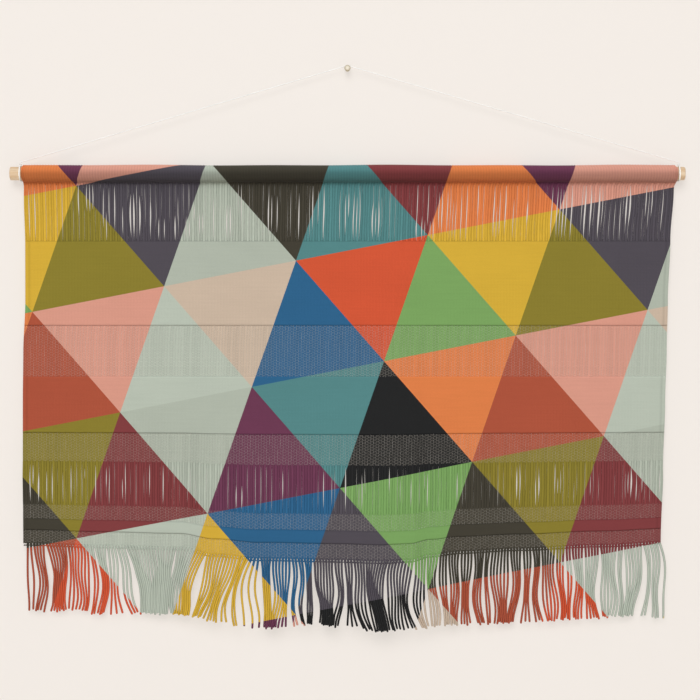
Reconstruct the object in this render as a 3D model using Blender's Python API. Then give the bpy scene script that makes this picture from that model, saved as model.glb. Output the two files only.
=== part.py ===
"""A woven wall hanging: banded cotton cloth with open warp and a long fringe, sewn round a wooden dowel,
which hangs by a cotton cord from a round-headed nail.

Metres, +Z up, X across the hanging, +Y away from the viewer. The origin is the middle of the nail's flat back
face, so the plane Y = 0 is the mounting plane and the whole hanging lies on the side of -Y.
"""

import math

import bmesh
import bpy
import numpy as np

MM = 0.001
CLEARANCE = 0.3 * MM  # between pieces that touch

# Dowel
DOWEL_LENGTH = 607 * MM
DOWEL_DIAMETER = 12 * MM
DOWEL_DROP = 95 * MM  # the dowel's axis below the nail
DOWEL_STANDOFF = 9.5 * MM
DOWEL_EDGE_ROUNDING = 1.0 * MM
DOWEL_SIDES = 32

# Cloth
CLOTH_THICKNESS = 1.4 * MM
HEM_DEPTH = 333 * MM  # from the dowel's axis to the cloth's lower edge at its left corner
POCKET_RADIUS = DOWEL_DIAMETER / 2 + CLEARANCE + CLOTH_THICKNESS / 2  # to the middle of the cloth
CREASE_RADIUS = 1.2 * MM  # where the pocket turns down into the panel
CREASE_SETBACK = 1.5 * MM  # from below the dowel's axis to where that turn starts
PANEL_SETBACK = CREASE_SETBACK + CREASE_RADIUS  # the panel's middle, behind the dowel's axis
TURNING_END = 9.2 * MM  # depth of the turned-in edge behind the pocket's seam
TURNING_STRAIGHT = 1.2 * MM  # how far below the pocket's round that edge is already flat
POCKET_STEPS = 17
CREASE_STEPS = 4
CLOTH_COLUMNS = 36

# Open warp, where the weft is left out and the warp parts into slits
UPPER_WARP_TOP = 10 * MM
UPPER_WARP_BOTTOM = 60 * MM
LOWER_WARP_TOP = 260 * MM
LOWER_WARP_BOTTOM = 296.5 * MM
SLIT_SHOULDER = 0.3  # share of a slit's length over which it opens to its full width
SLIT_CUT_FRONT = -60 * MM
SLIT_CUT_BACK = -1 * MM

# Depths of the panel's rows of points, below the dowel's axis
PANEL_ROWS = [depth * MM for depth in (13, 35, 60, 95, 130, 165, 200, 235)]
PANEL_ROWS += [LOWER_WARP_TOP, 279 * MM, LOWER_WARP_BOTTOM, 315 * MM, HEM_DEPTH]

# The cloth sags and billows only below these depths
SAG_START = 183 * MM
BILLOW_START = 60 * MM
BILLOW_PER_SAG = 0.9  # how far it comes forward for each millimetre that it sags
RIPPLE_DEPTH = 1.6 * MM
RIPPLE_LENGTH = 190 * MM

# Fringe
STRAND_COUNT = 206
STRAND_WIDTH = 1.8 * MM
STRAND_DEPTH = 1.3 * MM
STRAND_SPACING_LEAST = 2.05 * MM
STRAND_UNEVENNESS = 0.8 * MM
STRAND_SEGMENTS = 4
SPREADING_ROUNDS = 60
PARTING_EDGE = 0.01  # half the width of a parting where it starts, in millimetres
FRINGE_LEFT = -288 * MM
FRINGE_RIGHT = 280.5 * MM
FRINGE_STRIP_HEIGHT = 2.2 * MM

# Cord, its hitches round the dowel, and the nail
CORD_DIAMETER = 1.0 * MM
CORD_SIDES_LEVEL = 2
HITCH_WIDTH = 1.8 * MM
HITCH_LEFT = -294.4 * MM
HITCH_RIGHT = 298.2 * MM
KNOT_RADIUS = 1.3 * MM
KNOT_RISE = 0.7 * MM  # the knot's middle above the hitch's outside
HITCH_SIDES = 8
TURNED_STEPS = 20
NAIL_SHANK_DIAMETER = 4 * MM
NAIL_SHANK_LENGTH = 9 * MM
NAIL_HEAD_DIAMETER = 6 * MM
NAIL_HEAD_HEIGHT = 2.2 * MM
NAIL_HEAD_RIM = 0.7 * MM
NAIL_HEAD_FLARE = 0.2 * MM
NAIL_DOME_STEPS = 5

PRINTED_COTTON = (0.46, 0.38, 0.34)  # the print's many colours, averaged

# The cloth's side edges: a row for each depth below the dowel's axis.
EDGES = [
    {"depth": -7 * MM, "left": -292.0 * MM, "right": 294.6 * MM},
    {"depth": -4 * MM, "left": -293.0 * MM, "right": 296.6 * MM},
    {"depth": 2 * MM, "left": -293.1 * MM, "right": 296.9 * MM},
    {"depth": 7 * MM, "left": -292.3 * MM, "right": 296.3 * MM},
    {"depth": 12 * MM, "left": -291.6 * MM, "right": 294.1 * MM},
    {"depth": 60 * MM, "left": -290.5 * MM, "right": 291.0 * MM},
    {"depth": 115 * MM, "left": -290.4 * MM, "right": 288.7 * MM},
    {"depth": 160 * MM, "left": -292.2 * MM, "right": 287.7 * MM},
    {"depth": 205 * MM, "left": -292.6 * MM, "right": 286.3 * MM},
    {"depth": 268 * MM, "left": -292.6 * MM, "right": 284.3 * MM},
    {"depth": 333 * MM, "left": -292.2 * MM, "right": 282.3 * MM},
]

# How far the hem sags below its left corner: a row for each place across.
SAG = [
    {"across": -293 * MM, "sag": 0.0 * MM},
    {"across": -223 * MM, "sag": 2.2 * MM},
    {"across": -151 * MM, "sag": 3.6 * MM},
    {"across": -119 * MM, "sag": 9.0 * MM},
    {"across": -79 * MM, "sag": 12.6 * MM},
    {"across": -7 * MM, "sag": 13.8 * MM},
    {"across": 29 * MM, "sag": 14.7 * MM},
    {"across": 56 * MM, "sag": 13.5 * MM},
    {"across": 74 * MM, "sag": 9.5 * MM},
    {"across": 101 * MM, "sag": 6.8 * MM},
    {"across": 155 * MM, "sag": 4.5 * MM},
    {"across": 227 * MM, "sag": 1.3 * MM},
    {"across": 300 * MM, "sag": -1.8 * MM},
]

# Where the fringe ends, below the dowel's axis: a row for each place across.
TIPS = [
    {"across": -288 * MM, "depth": 391.9 * MM},
    {"across": -250 * MM, "depth": 392.8 * MM},
    {"across": -234 * MM, "depth": 396.4 * MM},
    {"across": -160 * MM, "depth": 398.2 * MM},
    {"across": -128 * MM, "depth": 401.8 * MM},
    {"across": -101 * MM, "depth": 404.5 * MM},
    {"across": -52 * MM, "depth": 409.5 * MM},
    {"across": -16 * MM, "depth": 404.5 * MM},
    {"across": 25 * MM, "depth": 410.5 * MM},
    {"across": 56 * MM, "depth": 407.9 * MM},
    {"across": 83 * MM, "depth": 405.9 * MM},
    {"across": 137 * MM, "depth": 402.3 * MM},
    {"across": 191 * MM, "depth": 398.8 * MM},
    {"across": 227 * MM, "depth": 397.6 * MM},
    {"across": 263 * MM, "depth": 398.2 * MM},
    {"across": 281 * MM, "depth": 401.8 * MM},
]

# Slits between warp yarns, in groups of neighbours: where the group starts and ends across in millimetres, how
# many slits, the shares of the band's height at which they start and end, and their width in millimetres.
UPPER_SLITS = [
    {"start": -286.5, "end": -282.7, "count": 2, "top": 0.05, "bottom": 0.99, "width": 1.6},
    {"start": -242.2, "end": -242.2, "count": 1, "top": 0.02, "bottom": 0.56, "width": 1.3},
    {"start": -234.9, "end": -228.6, "count": 3, "top": 0.01, "bottom": 0.52, "width": 1.9},
    {"start": -220.1, "end": -209.9, "count": 3, "top": 0.03, "bottom": 0.84, "width": 1.9},
    {"start": -203.4, "end": -203.4, "count": 1, "top": 0.40, "bottom": 0.92, "width": 1.3},
    {"start": -194.9, "end": -188.2, "count": 3, "top": 0.18, "bottom": 0.92, "width": 2.0},
    {"start": -178.2, "end": -178.2, "count": 1, "top": 0.30, "bottom": 0.92, "width": 1.3},
    {"start": -170.6, "end": -166.5, "count": 2, "top": 0.58, "bottom": 0.99, "width": 1.6},
    {"start": -154.4, "end": -154.4, "count": 1, "top": 0.56, "bottom": 0.99, "width": 1.8},
    {"start": -146.2, "end": -143.2, "count": 2, "top": 0.60, "bottom": 0.99, "width": 1.4},
    {"start": -138.6, "end": -138.6, "count": 1, "top": 0.33, "bottom": 0.70, "width": 1.4},
    {"start": -134.0, "end": -131.0, "count": 2, "top": 0.47, "bottom": 0.92, "width": 1.5},
    {"start": -109.4, "end": -105.8, "count": 2, "top": 0.37, "bottom": 0.99, "width": 2.0},
    {"start": -72.0, "end": -63.0, "count": 3, "top": 0.20, "bottom": 0.90, "width": 1.3},
    {"start": -44.6, "end": -44.6, "count": 1, "top": 0.17, "bottom": 0.99, "width": 1.6},
    {"start": -31.0, "end": -27.5, "count": 2, "top": 0.06, "bottom": 0.80, "width": 1.5},
    {"start": -2.3, "end": -2.3, "count": 1, "top": 0.17, "bottom": 0.92, "width": 1.6},
    {"start": 1.6, "end": 1.6, "count": 1, "top": 0.17, "bottom": 0.64, "width": 1.4},
    {"start": 6.0, "end": 9.4, "count": 2, "top": 0.16, "bottom": 0.99, "width": 2.0},
    {"start": 22.3, "end": 28.7, "count": 3, "top": 0.33, "bottom": 0.96, "width": 1.9},
    {"start": 63.0, "end": 78.0, "count": 5, "top": 0.60, "bottom": 0.99, "width": 1.4},
    {"start": 81.5, "end": 89.6, "count": 3, "top": 0.12, "bottom": 0.90, "width": 1.5},
    {"start": 133.2, "end": 136.6, "count": 2, "top": 0.03, "bottom": 0.97, "width": 1.7},
    {"start": 163.0, "end": 163.0, "count": 1, "top": 0.30, "bottom": 0.72, "width": 1.6},
    {"start": 185.0, "end": 201.0, "count": 6, "top": 0.06, "bottom": 0.97, "width": 1.6},
    {"start": 214.1, "end": 214.1, "count": 1, "top": 0.01, "bottom": 0.99, "width": 2.6},
    {"start": 218.4, "end": 218.4, "count": 1, "top": 0.17, "bottom": 0.94, "width": 1.5},
    {"start": 227.3, "end": 227.3, "count": 1, "top": 0.01, "bottom": 0.92, "width": 1.5},
    {"start": 251.1, "end": 254.8, "count": 2, "top": 0.06, "bottom": 0.74, "width": 1.9},
    {"start": 269.6, "end": 273.6, "count": 2, "top": 0.02, "bottom": 0.60, "width": 1.3},
    {"start": 283.0, "end": 283.0, "count": 1, "top": 0.05, "bottom": 0.90, "width": 1.2},
]
LOWER_SLITS = [
    {"start": -285.5, "end": -285.5, "count": 1, "top": 0.01, "bottom": 0.99, "width": 1.7},
    {"start": -282.2, "end": -282.2, "count": 1, "top": 0.05, "bottom": 0.60, "width": 1.5},
    {"start": -278.9, "end": -278.9, "count": 1, "top": 0.28, "bottom": 0.92, "width": 1.4},
    {"start": -271.7, "end": -271.7, "count": 1, "top": 0.20, "bottom": 0.99, "width": 1.5},
    {"start": -248.6, "end": -248.6, "count": 1, "top": 0.05, "bottom": 0.95, "width": 1.5},
    {"start": -236.3, "end": -236.3, "count": 1, "top": 0.08, "bottom": 0.46, "width": 1.3},
    {"start": -228.0, "end": -228.0, "count": 1, "top": 0.01, "bottom": 0.99, "width": 1.9},
    {"start": -216.3, "end": -216.3, "count": 1, "top": 0.02, "bottom": 0.61, "width": 1.7},
    {"start": -202.1, "end": -202.1, "count": 1, "top": 0.38, "bottom": 0.90, "width": 1.3},
    {"start": -165.0, "end": -165.0, "count": 1, "top": 0.05, "bottom": 0.95, "width": 1.4},
    {"start": -98.6, "end": -95.0, "count": 2, "top": 0.43, "bottom": 0.97, "width": 1.7},
    {"start": -57.0, "end": -57.0, "count": 1, "top": 0.10, "bottom": 0.75, "width": 1.4},
    {"start": -22.0, "end": -22.0, "count": 1, "top": 0.10, "bottom": 0.90, "width": 1.4},
    {"start": -1.8, "end": -1.8, "count": 1, "top": 0.02, "bottom": 0.90, "width": 1.9},
    {"start": 12.2, "end": 12.2, "count": 1, "top": 0.10, "bottom": 0.99, "width": 1.6},
    {"start": 46.4, "end": 57.6, "count": 2, "top": 0.18, "bottom": 0.92, "width": 1.5},
    {"start": 71.6, "end": 71.6, "count": 1, "top": 0.15, "bottom": 0.98, "width": 1.8},
    {"start": 99.0, "end": 99.0, "count": 1, "top": 0.20, "bottom": 0.90, "width": 1.3},
    {"start": 152.6, "end": 152.6, "count": 1, "top": 0.15, "bottom": 0.85, "width": 1.4},
    {"start": 172.0, "end": 172.0, "count": 1, "top": 0.26, "bottom": 0.80, "width": 1.6},
    {"start": 190.0, "end": 190.0, "count": 1, "top": 0.30, "bottom": 0.80, "width": 1.5},
    {"start": 217.8, "end": 217.8, "count": 1, "top": 0.20, "bottom": 0.85, "width": 1.4},
    {"start": 252.5, "end": 255.9, "count": 2, "top": 0.20, "bottom": 0.80, "width": 1.7},
    {"start": 265.0, "end": 265.0, "count": 1, "top": 0.15, "bottom": 0.85, "width": 1.4},
    {"start": 281.0, "end": 281.0, "count": 1, "top": 0.10, "bottom": 0.90, "width": 1.3},
]

# Where the fringe parts, in millimetres: the parting's place at the hem, how far it has moved sideways halfway
# down and at the tips, and how wide it stands open there.
PARTINGS = [
    {"root": -286.0, "mid": 0.7, "mid_open": 1.6, "tip": 1.1, "tip_open": 2.6},
    {"root": -283.2, "mid": 3.1, "mid_open": 1.5, "tip": 2.4, "tip_open": 1.5},
    {"root": -272.2, "mid": 4.4, "mid_open": 5.8, "tip": 4.6, "tip_open": 2.9},
    {"root": -254.3, "mid": 2.3, "mid_open": 1.5, "tip": 0.8, "tip_open": 0.4},
    {"root": -232.6, "mid": 3.4, "mid_open": 1.8, "tip": 0.0, "tip_open": 3.4},
    {"root": -228.8, "mid": 5.1, "mid_open": 3.4, "tip": 5.1, "tip_open": 4.2},
    {"root": -218.4, "mid": 1.4, "mid_open": 1.8, "tip": 1.2, "tip_open": 2.6},
    {"root": -209.3, "mid": 5.1, "mid_open": 2.0, "tip": 10.6, "tip_open": 5.4},
    {"root": -200.4, "mid": 9.6, "mid_open": 4.5, "tip": 15.5, "tip_open": 5.4},
    {"root": -173.9, "mid": 3.0, "mid_open": 1.2, "tip": -0.6, "tip_open": 0.6},
    {"root": -153.2, "mid": -6.5, "mid_open": 3.2, "tip": -7.8, "tip_open": 3.7},
    {"root": -127.0, "mid": -9.4, "mid_open": 6.0, "tip": -15.2, "tip_open": 5.3},
    {"root": -97.4, "mid": -9.0, "mid_open": 2.6, "tip": -19.0, "tip_open": 2.4},
    {"root": -91.9, "mid": -11.2, "mid_open": 3.6, "tip": -12.4, "tip_open": 3.4},
    {"root": -87.8, "mid": -10.3, "mid_open": 4.2, "tip": -9.6, "tip_open": 4.8},
    {"root": -83.7, "mid": -7.6, "mid_open": 3.2, "tip": -6.8, "tip_open": 3.6},
    {"root": -77.6, "mid": 2.4, "mid_open": 2.6, "tip": 2.4, "tip_open": 3.2},
    {"root": -67.6, "mid": -1.7, "mid_open": 2.6, "tip": -1.4, "tip_open": 2.4},
    {"root": -51.4, "mid": 0.4, "mid_open": 3.1, "tip": -1.0, "tip_open": 4.4},
    {"root": -44.5, "mid": 1.5, "mid_open": 2.6, "tip": 1.7, "tip_open": 3.0},
    {"root": -41.0, "mid": 3.4, "mid_open": 3.2, "tip": 2.8, "tip_open": 3.0},
    {"root": -31.4, "mid": 2.0, "mid_open": 4.6, "tip": 2.0, "tip_open": 7.6},
    {"root": -11.8, "mid": 0.0, "mid_open": 2.6, "tip": -1.1, "tip_open": 2.6},
    {"root": -3.9, "mid": 1.4, "mid_open": 3.0, "tip": 1.4, "tip_open": 5.0},
    {"root": 5.0, "mid": 1.4, "mid_open": 1.8, "tip": 6.2, "tip_open": 2.2},
    {"root": 15.0, "mid": 2.4, "mid_open": 1.4, "tip": 7.9, "tip_open": 1.4},
    {"root": 38.7, "mid": -5.5, "mid_open": 2.6, "tip": 1.4, "tip_open": 4.4},
    {"root": 60.8, "mid": -2.4, "mid_open": 3.2, "tip": 3.1, "tip_open": 2.8},
    {"root": 71.2, "mid": 0.0, "mid_open": 1.5, "tip": 2.3, "tip_open": 1.9},
    {"root": 81.4, "mid": -0.3, "mid_open": 2.4, "tip": 1.7, "tip_open": 3.1},
    {"root": 89.3, "mid": -0.2, "mid_open": 1.8, "tip": 2.8, "tip_open": 2.7},
    {"root": 100.4, "mid": -1.1, "mid_open": 1.8, "tip": 2.3, "tip_open": 2.0},
    {"root": 111.7, "mid": -0.2, "mid_open": 3.2, "tip": 0.0, "tip_open": 4.4},
    {"root": 123.4, "mid": -1.4, "mid_open": 2.4, "tip": 0.4, "tip_open": 2.8},
    {"root": 130.7, "mid": -1.8, "mid_open": 2.6, "tip": -0.5, "tip_open": 2.6},
    {"root": 145.4, "mid": -0.2, "mid_open": 2.4, "tip": -1.7, "tip_open": 2.4},
    {"root": 157.4, "mid": -0.7, "mid_open": 3.4, "tip": -2.8, "tip_open": 4.4},
    {"root": 166.7, "mid": 0.7, "mid_open": 2.6, "tip": 0.1, "tip_open": 2.4},
    {"root": 174.6, "mid": 0.2, "mid_open": 2.6, "tip": 2.8, "tip_open": 2.7},
    {"root": 187.5, "mid": 0.9, "mid_open": 2.0, "tip": 2.3, "tip_open": 2.6},
    {"root": 195.6, "mid": 0.0, "mid_open": 2.2, "tip": 0.4, "tip_open": 2.2},
    {"root": 202.8, "mid": 0.7, "mid_open": 1.8, "tip": 2.2, "tip_open": 2.6},
    {"root": 211.8, "mid": 0.5, "mid_open": 2.2, "tip": 2.4, "tip_open": 1.8},
    {"root": 227.6, "mid": 0.2, "mid_open": 4.0, "tip": -0.6, "tip_open": 2.4},
    {"root": 241.7, "mid": 0.5, "mid_open": 2.8, "tip": 0.0, "tip_open": 3.1},
    {"root": 249.2, "mid": -0.5, "mid_open": 3.6, "tip": -1.1, "tip_open": 5.2},
    {"root": 264.2, "mid": 2.3, "mid_open": 6.2, "tip": -3.4, "tip_open": 7.6},
    {"root": 269.5, "mid": 4.0, "mid_open": 1.5, "tip": 0.0, "tip_open": 3.8},
    {"root": 278.8, "mid": 5.0, "mid_open": 3.0, "tip": 0.5, "tip_open": 2.6},
]

# The cord's route from the left hitch over the nail to the right hitch, in millimetres.
CORD_ROUTE = [
    (-294.4, -9.5, -84.9),
    (-292.0, -9.5, -84.2),
    (-284.0, -9.4, -81.8),
    (-240.0, -8.8, -68.6),
    (-180.0, -8.0, -50.7),
    (-120.0, -7.2, -32.8),
    (-60.0, -6.3, -14.9),
    (-20.0, -5.8, -3.0),
    (-6.0, -5.6, 1.1),
    (-1.6, -5.5, 2.4),
    (0.0, -5.5, 2.7),
    (1.6, -5.5, 2.4),
    (6.0, -5.6, 1.1),
    (20.0, -5.8, -3.0),
    (60.0, -6.3, -14.7),
    (120.0, -7.2, -32.4),
    (180.0, -8.0, -50.0),
    (240.0, -8.8, -67.7),
    (287.0, -9.4, -81.5),
    (295.8, -9.5, -84.2),
    (298.2, -9.5, -84.9),
]
# How many steps the cord's tube takes in each stretch of that route
CORD_STEPS = [1, 2, 5, 6, 6, 6, 4, 3, 3, 2, 2, 3, 3, 4, 6, 6, 6, 5, 2, 1]


def clear_scene():
    for thing in list(bpy.data.objects):
        bpy.data.objects.remove(thing, do_unlink=True)


def material(name, colour, roughness, metallic=0.0):
    made = bpy.data.materials.new(name)
    made.use_nodes = True
    shader = made.node_tree.nodes["Principled BSDF"]
    shader.inputs["Base Color"].default_value = (*colour, 1.0)
    shader.inputs["Roughness"].default_value = roughness
    shader.inputs["Metallic"].default_value = metallic
    return made


def object_of(name, mesh, surface):
    made = bpy.data.objects.new(name, mesh)
    made.data.materials.append(surface)
    bpy.context.scene.collection.objects.link(made)
    return made


def mesh_of(name, points, faces):
    mesh = bpy.data.meshes.new(name)
    mesh.from_pydata([tuple(p) for p in points], [], [tuple(f) for f in faces])
    mesh.validate()
    form = bmesh.new()
    form.from_mesh(mesh)
    bmesh.ops.recalc_face_normals(form, faces=form.faces)
    form.to_mesh(mesh)
    form.free()
    return mesh


def smooth_step(share):
    """0 before 0, 1 after 1, and level at both ends."""
    share = np.clip(share, 0.0, 1.0)
    return share * share * (3 - 2 * share)


def read_table(table, along, column, at):
    """A column of a table at any place, eased between its rows."""
    places = np.array([row[along] for row in table])
    values = np.array([row[column] for row in table])
    at = np.clip(at, places[0], places[-1])
    after = np.clip(np.searchsorted(places, at), 1, len(places) - 1)
    share = smooth_step((at - places[after - 1]) / (places[after] - places[after - 1]))
    return values[after - 1] + share * (values[after] - values[after - 1])


def on_panel(share, depth):
    """The middle of the hanging cloth, at a share of the way from left to right and a depth below the dowel."""
    left = read_table(EDGES, "depth", "left", depth)
    right = read_table(EDGES, "depth", "right", depth)
    return panel_at(left + share * (right - left), depth)


def panel_at(across, depth):
    """The same surface at a place across in metres. It sags and billows more the lower it is."""
    sag = read_table(SAG, "across", "sag", across)
    lowness = np.clip((depth - SAG_START) / (HEM_DEPTH - SAG_START), 0.0, None)
    fullness = smooth_step((depth - BILLOW_START) / (HEM_DEPTH - BILLOW_START))
    ripple = RIPPLE_DEPTH * np.sin(2 * math.pi * across / RIPPLE_LENGTH)
    standoff = DOWEL_STANDOFF - PANEL_SETBACK + fullness * (BILLOW_PER_SAG * np.maximum(sag, 0.0) + ripple)
    down = DOWEL_DROP + depth + sag * lowness**2
    return np.array([across, -standoff, -down])


def dowel():
    """A round rod along X with its end corners rounded off."""
    form = bmesh.new()
    bmesh.ops.create_cone(
        form,
        cap_ends=True,
        segments=DOWEL_SIDES,
        radius1=DOWEL_DIAMETER / 2,
        radius2=DOWEL_DIAMETER / 2,
        depth=DOWEL_LENGTH,
    )
    mesh = bpy.data.meshes.new("dowel")
    form.to_mesh(mesh)
    form.free()
    mesh.shade_smooth()
    mesh.set_sharp_from_angle(angle=math.radians(40))
    rod = object_of("dowel", mesh, material("pale_wood", (0.80, 0.62, 0.42), 0.55))
    rod.location = (0.0, -DOWEL_STANDOFF, -DOWEL_DROP)
    rod.rotation_euler = (0.0, math.pi / 2, 0.0)
    rounding = rod.modifiers.new("rounded ends", "BEVEL")
    rounding.width = DOWEL_EDGE_ROUNDING
    rounding.segments = 2
    rounding.limit_method = "ANGLE"
    rounding.angle_limit = math.radians(40)
    return rod


def pocket_section():
    """The cloth's course round the dowel, as (setback, depth) from the dowel's axis: up behind the dowel from
    the turned-in edge, over its top, down its front and under it, to where the panel hangs."""
    turning_setback = PANEL_SETBACK + CLOTH_THICKNESS + CLEARANCE
    leaving = math.acos(turning_setback / POCKET_RADIUS)
    flat_from = POCKET_RADIUS * math.sin(leaving) + TURNING_STRAIGHT
    section = [(turning_setback, TURNING_END), (turning_setback, flat_from)]
    for turn in np.linspace(leaving, -1.5 * math.pi, POCKET_STEPS):
        section.append((POCKET_RADIUS * math.cos(turn), POCKET_RADIUS * math.sin(turn)))
    for turn in np.linspace(0.5 * math.pi, 0.0, CREASE_STEPS):
        setback = CREASE_SETBACK + CREASE_RADIUS * math.cos(turn)
        section.append((setback, POCKET_RADIUS + CREASE_RADIUS - CREASE_RADIUS * math.sin(turn)))
    return section


def cloth_rows():
    """Rows of the cloth's middle, each a function of the share across, from the turned-in edge to the hem."""
    rows = []
    for setback, depth in pocket_section():
        left = read_table(EDGES, "depth", "left", depth)
        right = read_table(EDGES, "depth", "right", depth)
        rows.append(
            lambda share, setback=setback, depth=depth, left=left, right=right: np.array(
                [left + share * (right - left), setback - DOWEL_STANDOFF, -DOWEL_DROP - depth]
            )
        )
    for depth in PANEL_ROWS:
        rows.append(lambda share, depth=depth: on_panel(share, depth))
    return rows


def slit_points(group, band_top, band_bottom, number):
    """The six corners of one slit, pointed at both ends, as (across, depth)."""
    share = number / max(group["count"] - 1, 1)
    across = (group["start"] + share * (group["end"] - group["start"])) * MM
    height = band_bottom - band_top
    top = band_top + group["top"] * height
    bottom = band_top + group["bottom"] * height
    half = group["width"] * MM / 2
    shoulder = SLIT_SHOULDER * (bottom - top)
    upper = top + shoulder
    lower = bottom - shoulder
    return [
        (across, top),
        (across + half, upper),
        (across + half, lower),
        (across, bottom),
        (across - half, lower),
        (across - half, upper),
    ]


def slit_cutter():
    """One helper mesh of a thin prism for each slit, running through the cloth along Y."""
    points, faces = [], []
    for groups, top, bottom in (
        (UPPER_SLITS, UPPER_WARP_TOP, UPPER_WARP_BOTTOM),
        (LOWER_SLITS, LOWER_WARP_TOP, LOWER_WARP_BOTTOM),
    ):
        for group in groups:
            for number in range(group["count"]):
                corners = slit_points(group, top, bottom, number)
                first, sides = len(points), len(corners)
                for reach in (SLIT_CUT_FRONT, SLIT_CUT_BACK):
                    for across, depth in corners:
                        points.append((across, reach, panel_at(across, depth)[2]))
                faces.append([first + k for k in range(sides)])
                faces.append([first + sides + k for k in reversed(range(sides))])
                for k in range(sides):
                    following = (k + 1) % sides
                    faces.append([first + k, first + sides + k, first + sides + following, first + following])
    cutter = object_of("slit_cutter", mesh_of("slit_cutter", points, faces), material("helper", (1, 0, 0), 0.5))
    cutter.hide_render = True
    cutter.display_type = "WIRE"
    return cutter


def cloth():
    """The whole woven cloth: pocket, panel and hem in one thickened sheet, with its open slits cut through."""
    rows = cloth_rows()
    shares = np.linspace(0.0, 1.0, CLOTH_COLUMNS + 1)
    points = [row(share) for row in rows for share in shares]
    across = len(shares)
    faces = [
        [r * across + c, r * across + c + 1, (r + 1) * across + c + 1, (r + 1) * across + c]
        for r in range(len(rows) - 1)
        for c in range(CLOTH_COLUMNS)
    ]
    cotton = material("printed_cotton", PRINTED_COTTON, 0.9)
    woven = object_of("cloth", mesh_of("cloth", points, faces), cotton)
    body = woven.modifiers.new("thickness", "SOLIDIFY")
    body.thickness = CLOTH_THICKNESS
    body.offset = 0.0
    body.use_even_offset = True
    cut = woven.modifiers.new("slits", "BOOLEAN")
    cut.operation = "DIFFERENCE"
    cut.solver = "EXACT"
    cut.object = slit_cutter()
    return woven


def parted_positions(level):
    """Where each strand's middle is across, from level 0 at the hem to 1 at the tips. Partings are lens-shaped
    gaps that wander sideways, and the strands between two partings share the room left."""
    roots = np.linspace(FRINGE_LEFT, FRINGE_RIGHT, STRAND_COUNT)
    bow = 4 * level * (1 - level)
    fall = level * level
    places, shifts = [roots[0]], [0.0]
    for parting in PARTINGS:
        open_mid, open_tip = parting["mid_open"] / 2, parting["tip_open"] / 2
        shift = (parting["mid"] - 0.25 * parting["tip"]) * bow + parting["tip"] * fall
        half = (open_mid - 0.25 * open_tip) * bow + open_tip * fall
        for side in (-1, 1):
            places.append((parting["root"] + side * PARTING_EDGE) * MM)
            shifts.append((shift + side * half) * MM)
    places.append(roots[-1])
    shifts.append(shifts[-1])
    across = roots + np.interp(roots, places, shifts)
    for _ in range(SPREADING_ROUNDS):
        short = np.maximum(STRAND_SPACING_LEAST - np.diff(across), 0.0)
        across[:-1] -= short / 2
        across[1:] += short / 2
    return across


def below_hem(hem, across):
    """The place just under the cloth's lower edge, which runs straight between its own columns."""
    places = [place[0] for place in hem]
    forward = np.interp(across, places, [place[1] for place in hem])
    height = np.interp(across, places, [place[2] for place in hem])
    return np.array([across, forward, height - CLEARANCE])


def fringe():
    """A narrow woven strip below the hem with the warp ends hanging from it as separate strands, in one solid."""
    roots = np.linspace(FRINGE_LEFT, FRINGE_RIGHT, STRAND_COUNT)
    half_width, half_depth = STRAND_WIDTH / 2, STRAND_DEPTH / 2
    strip_bottom = HEM_DEPTH + CLEARANCE + FRINGE_STRIP_HEIGHT
    points, faces = [], []

    def add(place, set_forward):
        points.append((place[0], place[1] - set_forward, place[2]))
        return len(points) - 1

    def pair(place):
        return add(place, half_depth), add(place, -half_depth)

    lower = []
    for root in roots:
        lower.append(pair(panel_at(root - half_width, strip_bottom)))
        lower.append(pair(panel_at(root + half_width, strip_bottom)))
    hem = [on_panel(share, HEM_DEPTH) for share in np.linspace(0.0, 1.0, CLOTH_COLUMNS + 1)]
    ends = [roots[0] - half_width, roots[-1] + half_width]
    stops = [ends[0]] + [place[0] for place in hem if ends[0] + MM < place[0] < ends[1] - MM] + [ends[1]]
    upper = [pair(below_hem(hem, stop)) for stop in stops]
    nearest = [2 * int(round(place)) for place in np.interp(stops, roots, np.arange(STRAND_COUNT))]
    nearest[-1] = 2 * STRAND_COUNT - 1
    for k in range(len(stops) - 1):
        run = lower[nearest[k] : nearest[k + 1] + 1]
        faces.append([upper[k][0], upper[k + 1][0]] + [corner[0] for corner in reversed(run)])
        faces.append([upper[k + 1][1], upper[k][1]] + [corner[1] for corner in run])
        faces.append([upper[k][0], upper[k][1], upper[k + 1][1], upper[k + 1][0]])
    faces.append([upper[0][0], lower[0][0], lower[0][1], upper[0][1]])
    faces.append([upper[-1][0], upper[-1][1], lower[-1][1], lower[-1][0]])
    for k in range(STRAND_COUNT - 1):
        left, right = lower[2 * k + 1], lower[2 * k + 2]
        faces.append([left[0], right[0], right[1], left[1]])

    levels = np.linspace(0.0, 1.0, STRAND_SEGMENTS + 1)[1:]
    courses = [parted_positions(level) for level in levels]
    for k, root in enumerate(roots):
        ring = [lower[2 * k][0], lower[2 * k + 1][0], lower[2 * k + 1][1], lower[2 * k][1]]
        root_place = panel_at(root, strip_bottom)
        tip_height = -DOWEL_DROP - read_table(TIPS, "across", "depth", courses[-1][k])
        tip_height += STRAND_UNEVENNESS * math.sin(2.1 * k)
        for level, course in zip(levels, courses):
            height = root_place[2] + level * (tip_height - root_place[2])
            place = np.array([course[k], root_place[1], height])
            following = []
            for side, set_forward in ((-1, half_depth), (1, half_depth), (1, -half_depth), (-1, -half_depth)):
                following.append(add(place + np.array([side * half_width, 0.0, 0.0]), set_forward))
            for a in range(4):
                b = (a + 1) % 4
                faces.append([ring[a], ring[b], following[b], following[a]])
            ring = following
        faces.append(ring)
    cotton = material("fringe_cotton", PRINTED_COTTON, 0.9)
    return object_of("fringe", mesh_of("fringe", points, faces), cotton)


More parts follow.
